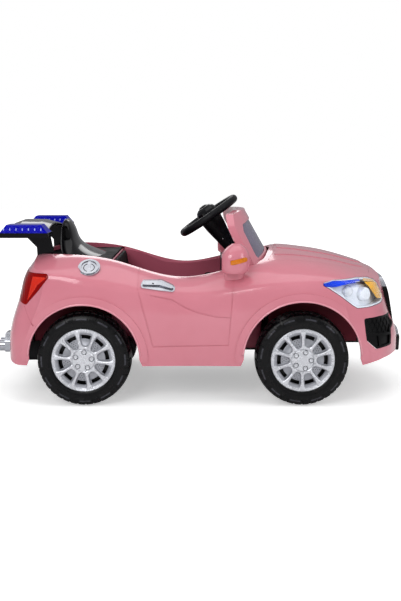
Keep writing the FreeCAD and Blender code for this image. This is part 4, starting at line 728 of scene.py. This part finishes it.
def rear_skirt():
    """A black skirt round the floor pan's rear end, with a rolled lower edge."""
    thick, corner, probe = 0.003, 0.006, 0.03
    pan = surface("floor_pan")
    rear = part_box("floor_pan")[0][0] - thick
    top = pan.ray_cast(Vector((rear + probe, 0, 0)), UP)[0].z
    half = pan.ray_cast(Vector((rear + probe, OUTSIDE, top + 0.002)), Vector((0, -1, 0)))[0].y + thick
    # The way round from the right flank to the left one, as a place and the way it faces
    flank, corner_step = (rear + 0.066, rear + 0.04), 22.5
    path = [(x, -half, 0, -1) for x in flank]
    for side in (-1, 1):
        for k in range(5):
            t = math.radians(corner_step * k if side < 0 else 90 - corner_step * k)
            path.append((rear + corner * (1 - math.sin(t)), side * (half - corner * (1 - math.cos(t))),
                         -math.sin(t), side * math.cos(t)))
    path += [(x, half, 0, 1) for x in flank[::-1]]
    # The skirt's section: how far out, and how high over the pan's underside
    section = ((-thick, 0.004), (0.0, 0.004), (0.0, -0.041), (0.0016, -0.0425), (0.0016, -0.0455),
               (-0.001, -0.047), (-thick, -0.045))
    verts = [(x + nx * out, y + ny * out, top + drop) for x, y, nx, ny in path for out, drop in section]
    faces = tube_faces(len(path), len(section), flip=True)
    piece("rear_skirt", verts, faces, BLACK_SATIN, "chassis", sharp=40)


def deck_flange():
    """The opening's inner flange, from the edge of the rear deck up to the rim of the shell."""
    thick, sunk, under_rim = 0.0012, 0.0005, 0.001
    deck, shell = surface("rear_deck"), surface("body_shell")
    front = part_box("rear_deck")[1][0] - 0.002
    middle = Vector((middle_of("rear_deck", 0), 0, 0))
    beside_headrest = Vector((0, 0.15, 1))
    level = deck.ray_cast(middle + beside_headrest, DOWN)[0].z
    verts = []
    # All round but for the deck's front edge
    for a in range(40, 321):
        way = Vector((math.cos(math.radians(a)), math.sin(math.radians(a)), 0))
        place = deck.ray_cast(middle + way * OUTSIDE + Vector((0, 0, level - 0.001)), -way)[0]
        if place.x > front:
            continue
        edge = shell.ray_cast(place + way * 0.003 + Vector((0, 0, 0.3)), DOWN)[0]
        top = max(level + sunk, edge.z - under_rim if edge else level)
        for out, z in ((0.0, level - sunk), (0.0, top), (-thick, top), (-thick, level - sunk)):
            verts.append((place.x + way.x * out, place.y + way.y * out, z))
    faces = tube_faces(len(verts) // 4, 4, flip=True)
    # Its darker pink is painted shade, as on the tub
    piece("deck_flange", verts, faces, PINK_INSIDE_SHADE, "chassis", sharp=40)


def rim_flange(side, label):
    """The strip that joins the shell's rim to the top of the tub's wall beside the seat."""
    rear, pitch, stations = -0.238, 0.008, 37
    thick, rim_y, above = 0.0008, 0.186, 0.6
    shell, tub = surface("body_shell"), surface("cockpit_tub")
    across = Vector((0, side, 0))
    verts = []
    for k in range(stations):
        x = rear + pitch * k
        z = shell.ray_cast(Vector((x, side * rim_y, above)), DOWN)[0].z - 0.0015
        edge = shell.ray_cast(Vector((x, 0, z)), across)[0].y
        wall = tub.ray_cast(Vector((x, 0, z - 0.04)), across)[0].y
        low = tub.ray_cast(Vector((x, wall + side * 0.0015, above)), DOWN)[0].z - 0.0005
        for y, height in ((edge, z), (wall, low), (wall + side * thick, low), (edge + side * thick, z)):
            verts.append((x, y, height))
    faces = tube_faces(stations, 4)
    if side < 0:
        faces = [f[::-1] for f in faces]
    # Its darker pink is painted shade, as on the tub
    piece("rim_flange_" + label, verts, faces, PINK_INSIDE_SHADE, "chassis", sharp=40)


rear_skirt()
deck_flange()
for side, label in SIDES:
    rim_flange(side, label)

# The two halves of the filler cap's groove, as a thin black bead: painted shade in the groove
CAP_X, CAP_Z = middle_of("filler_cap", 0), middle_of("filler_cap", 2)
GROOVE_WIDE, GROOVE_HIGH, GROOVE_THICK = 0.0132, 0.0085, 0.0009
for start, label in ((-68, "front"), (112, "rear")):
    ring = arc(CAP_X, CAP_Z, GROOVE_WIDE, GROOVE_HIGH, range(start, start + 137, 4))
    bead("cap_groove_" + label, "filler_cap", ring, -1, GROOVE_THICK, BLACK_DEEP, "chassis")

# The screw in the steering neck's right side and the locks in the door handles
SCREW_START, SCREW_R, SCREW_RISE = (0.0491, -0.1, 0.4004), 0.0026, 0.0008
studs("steering_screw", "steering_wheel", [(SCREW_START, (0, 1, 0))], (SCREW_R, SCREW_R), SCREW_RISE, PLATED,
      "steering")
LOCK_X, LOCK_Z, LOCK_R, LOCK_RISE = -0.1305, 0.3096, 0.0022, 0.0006
lock_spots = [((LOCK_X, OUTSIDE * side, LOCK_Z), (0, -side, 0)) for side in (-1, 1)]
studs("handle_locks", "door_handles", lock_spots, (LOCK_R, LOCK_R), LOCK_RISE, BLACK_DEEP, "chassis")

# The small lamps in both long sides of the light bar's lenses
LENS_LOW, LENS_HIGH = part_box("beacon_lenses")
LEDS, LED_START, LED_PITCH, LED_LEVEL = 7, 0.012, 0.0155, 0.45
LED_SIZE, LED_RISE = (0.0013, 0.0034), 0.0005
lamp_spots = []
for side in (-1, 1):
    for k in range(LEDS):
        x = LENS_LOW[0] + LED_START + LED_PITCH * k
        z = LENS_LOW[2] + LED_LEVEL * (LENS_HIGH[2] - LENS_LOW[2])
        lamp_spots.append(((x, side * OUTSIDE, z), (0, -side, 0)))
        lamp_spots.append(((x, 0, z), (0, side, 0)))
studs("beacon_leds", "beacon_lenses", lamp_spots, LED_SIZE, LED_RISE, LED, "chassis")

# The bright part of the tail lamps, as corners of (x, z)
RED_FACET = [(-0.430, 0.3265), (-0.3915, 0.3262), (-0.4164, 0.3067), (-0.4247, 0.2938), (-0.4450, 0.2668)]
FACET_RISE, FACET_BEVEL = 0.0012, 0.004
for side, label in SIDES:
    inlaid("tail_lamp_facet_" + label, "tail_lamps", RED_FACET, side, FACET_RISE, FACET_BEVEL, RED_LIGHT,
           "chassis")


# Light, floor and camera

def area(name, place, aim, size, power):
    """A rectangular lamp that looks at a point."""
    data = bpy.data.lights.new(name, "AREA")
    data.shape = "RECTANGLE"
    data.size, data.size_y = size
    data.energy = power
    lamp = bpy.data.objects.new(name, data)
    lamp.location = place
    lamp.rotation_euler = (Vector(aim) - Vector(place)).to_track_quat("-Z", "Y").to_euler()
    bpy.context.scene.collection.objects.link(lamp)


area("top_softbox", (0.1, -0.35, 2.1), (0, 0, 0.2), (2.4, 1.3), 12)
area("front_softbox", (-1.0, -2.3, 1.5), (0, 0, 0.2), (1.3, 1.1), 24)
area("side_softbox", (1.9, -1.5, 1.2), (0.1, 0, 0.25), (0.9, 1.2), 11)
area("rear_softbox", (-0.6, 2.2, 1.6), (0, 0, 0.3), (1.8, 1.0), 12)


def shown(tree):
    """1 for rays from the camera and through clear pieces, else 0."""
    path = tree.nodes.new("ShaderNodeLightPath")
    most = tree.nodes.new("ShaderNodeMath")
    most.operation = "MAXIMUM"
    tree.links.new(path.outputs["Is Camera Ray"], most.inputs[0])
    tree.links.new(path.outputs["Is Transmission Ray"], most.inputs[1])
    return most.outputs[0]


WHITE = (1, 1, 1, 1)
# The world's light: its strength, its colour below, and the height at which it is white
SKY_LIGHT, SKY_LOW, SKY_WHITE = 0.5, (0.62, 0.62, 0.65, 1), 0.7
# The floor: half its length, its two greys, and its glow under the car and far from it
FLOOR_HALF, PAPER_DARK, PAPER_LIGHT = 9, (0.92, 0.92, 0.92, 1), (0.94, 0.94, 0.94, 1)
GLOW_UNDER, GLOW_FAR, GLOW_START, GLOW_END = 0.42, 0.9, 0.8, 2.4


def studio():
    """A world that looks white, and lights the car with a softer grey that is brighter above."""
    world = bpy.data.worlds.new("studio")
    bpy.context.scene.world = world
    world.use_nodes = True
    tree = world.node_tree
    tree.nodes.clear()
    out = tree.nodes.new("ShaderNodeOutputWorld")
    white = add_node(tree, "ShaderNodeBackground", {"Color": WHITE, "Strength": 1.0})
    light = add_node(tree, "ShaderNodeBackground", {"Strength": SKY_LIGHT})
    where = tree.nodes.new("ShaderNodeTexCoord")
    split = tree.nodes.new("ShaderNodeSeparateXYZ")
    tree.links.new(where.outputs["Generated"], split.inputs["Vector"])
    sky = ramp(tree, split.outputs["Z"], SKY_LOW, WHITE, 0.0, SKY_WHITE)
    tree.links.new(sky, light.inputs["Color"])
    mix = tree.nodes.new("ShaderNodeMixShader")
    tree.links.new(shown(tree), mix.inputs["Fac"])
    tree.links.new(light.outputs[0], mix.inputs[1])
    tree.links.new(white.outputs[0], mix.inputs[2])
    tree.links.new(mix.outputs[0], out.inputs["Surface"])


def floor():
    """White paper that takes the car's shadow, and fades to pure white away from it."""
    mesh = bpy.data.meshes.new("studio_floor")
    corners = [(x * FLOOR_HALF, y * FLOOR_HALF, 0) for x, y in ((-1, -1), (1, -1), (1, 1), (-1, 1))]
    mesh.from_pydata(corners, [], [(0, 1, 2, 3)])
    obj = bpy.data.objects.new("studio_floor", mesh)
    bpy.context.scene.collection.objects.link(obj)
    mat = bpy.data.materials.new("floor_paper")
    mat.use_nodes = True
    tree = mat.node_tree
    tree.nodes.clear()
    out = tree.nodes.new("ShaderNodeOutputMaterial")
    paper = tree.nodes.new("ShaderNodeBsdfDiffuse")
    grain = ramp(tree, noise(tree, coords(tree), 40.0), PAPER_DARK, PAPER_LIGHT)
    tree.links.new(grain, paper.inputs["Color"])
    shine = add_node(tree, "ShaderNodeEmission", {"Color": WHITE})
    away = tree.nodes.new("ShaderNodeVectorMath")
    away.operation = "LENGTH"
    tree.links.new(coords(tree), away.inputs[0])
    level = tree.nodes.new("ShaderNodeMath")
    level.operation = "MULTIPLY"
    tree.links.new(shown(tree), level.inputs[0])
    glow = spread(tree, away.outputs["Value"], GLOW_UNDER, GLOW_FAR, GLOW_START, GLOW_END)
    tree.links.new(glow, level.inputs[1])
    tree.links.new(level.outputs[0], shine.inputs["Strength"])
    add = tree.nodes.new("ShaderNodeAddShader")
    tree.links.new(paper.outputs[0], add.inputs[0])
    tree.links.new(shine.outputs[0], add.inputs[1])
    tree.links.new(add.outputs[0], out.inputs["Surface"])
    mesh.materials.append(mat)


studio()
floor()

# The camera as solved from the photo: it looks along +Y and a little down
CAMERA_PLACE, CAMERA_DOWN = (-0.0125, -2.275, 0.59905), 9.3
LENS_MM, SENSOR_MM = 49.4, 36.0
camera = bpy.data.objects.new("camera", bpy.data.cameras.new("camera"))
camera.location = CAMERA_PLACE
camera.rotation_euler = (math.radians(90 - CAMERA_DOWN), 0, 0)
camera.data.lens = LENS_MM
camera.data.sensor_width = SENSOR_MM
bpy.context.scene.collection.objects.link(camera)
bpy.context.scene.camera = camera
bpy.context.scene.view_settings.view_transform = "Standard"
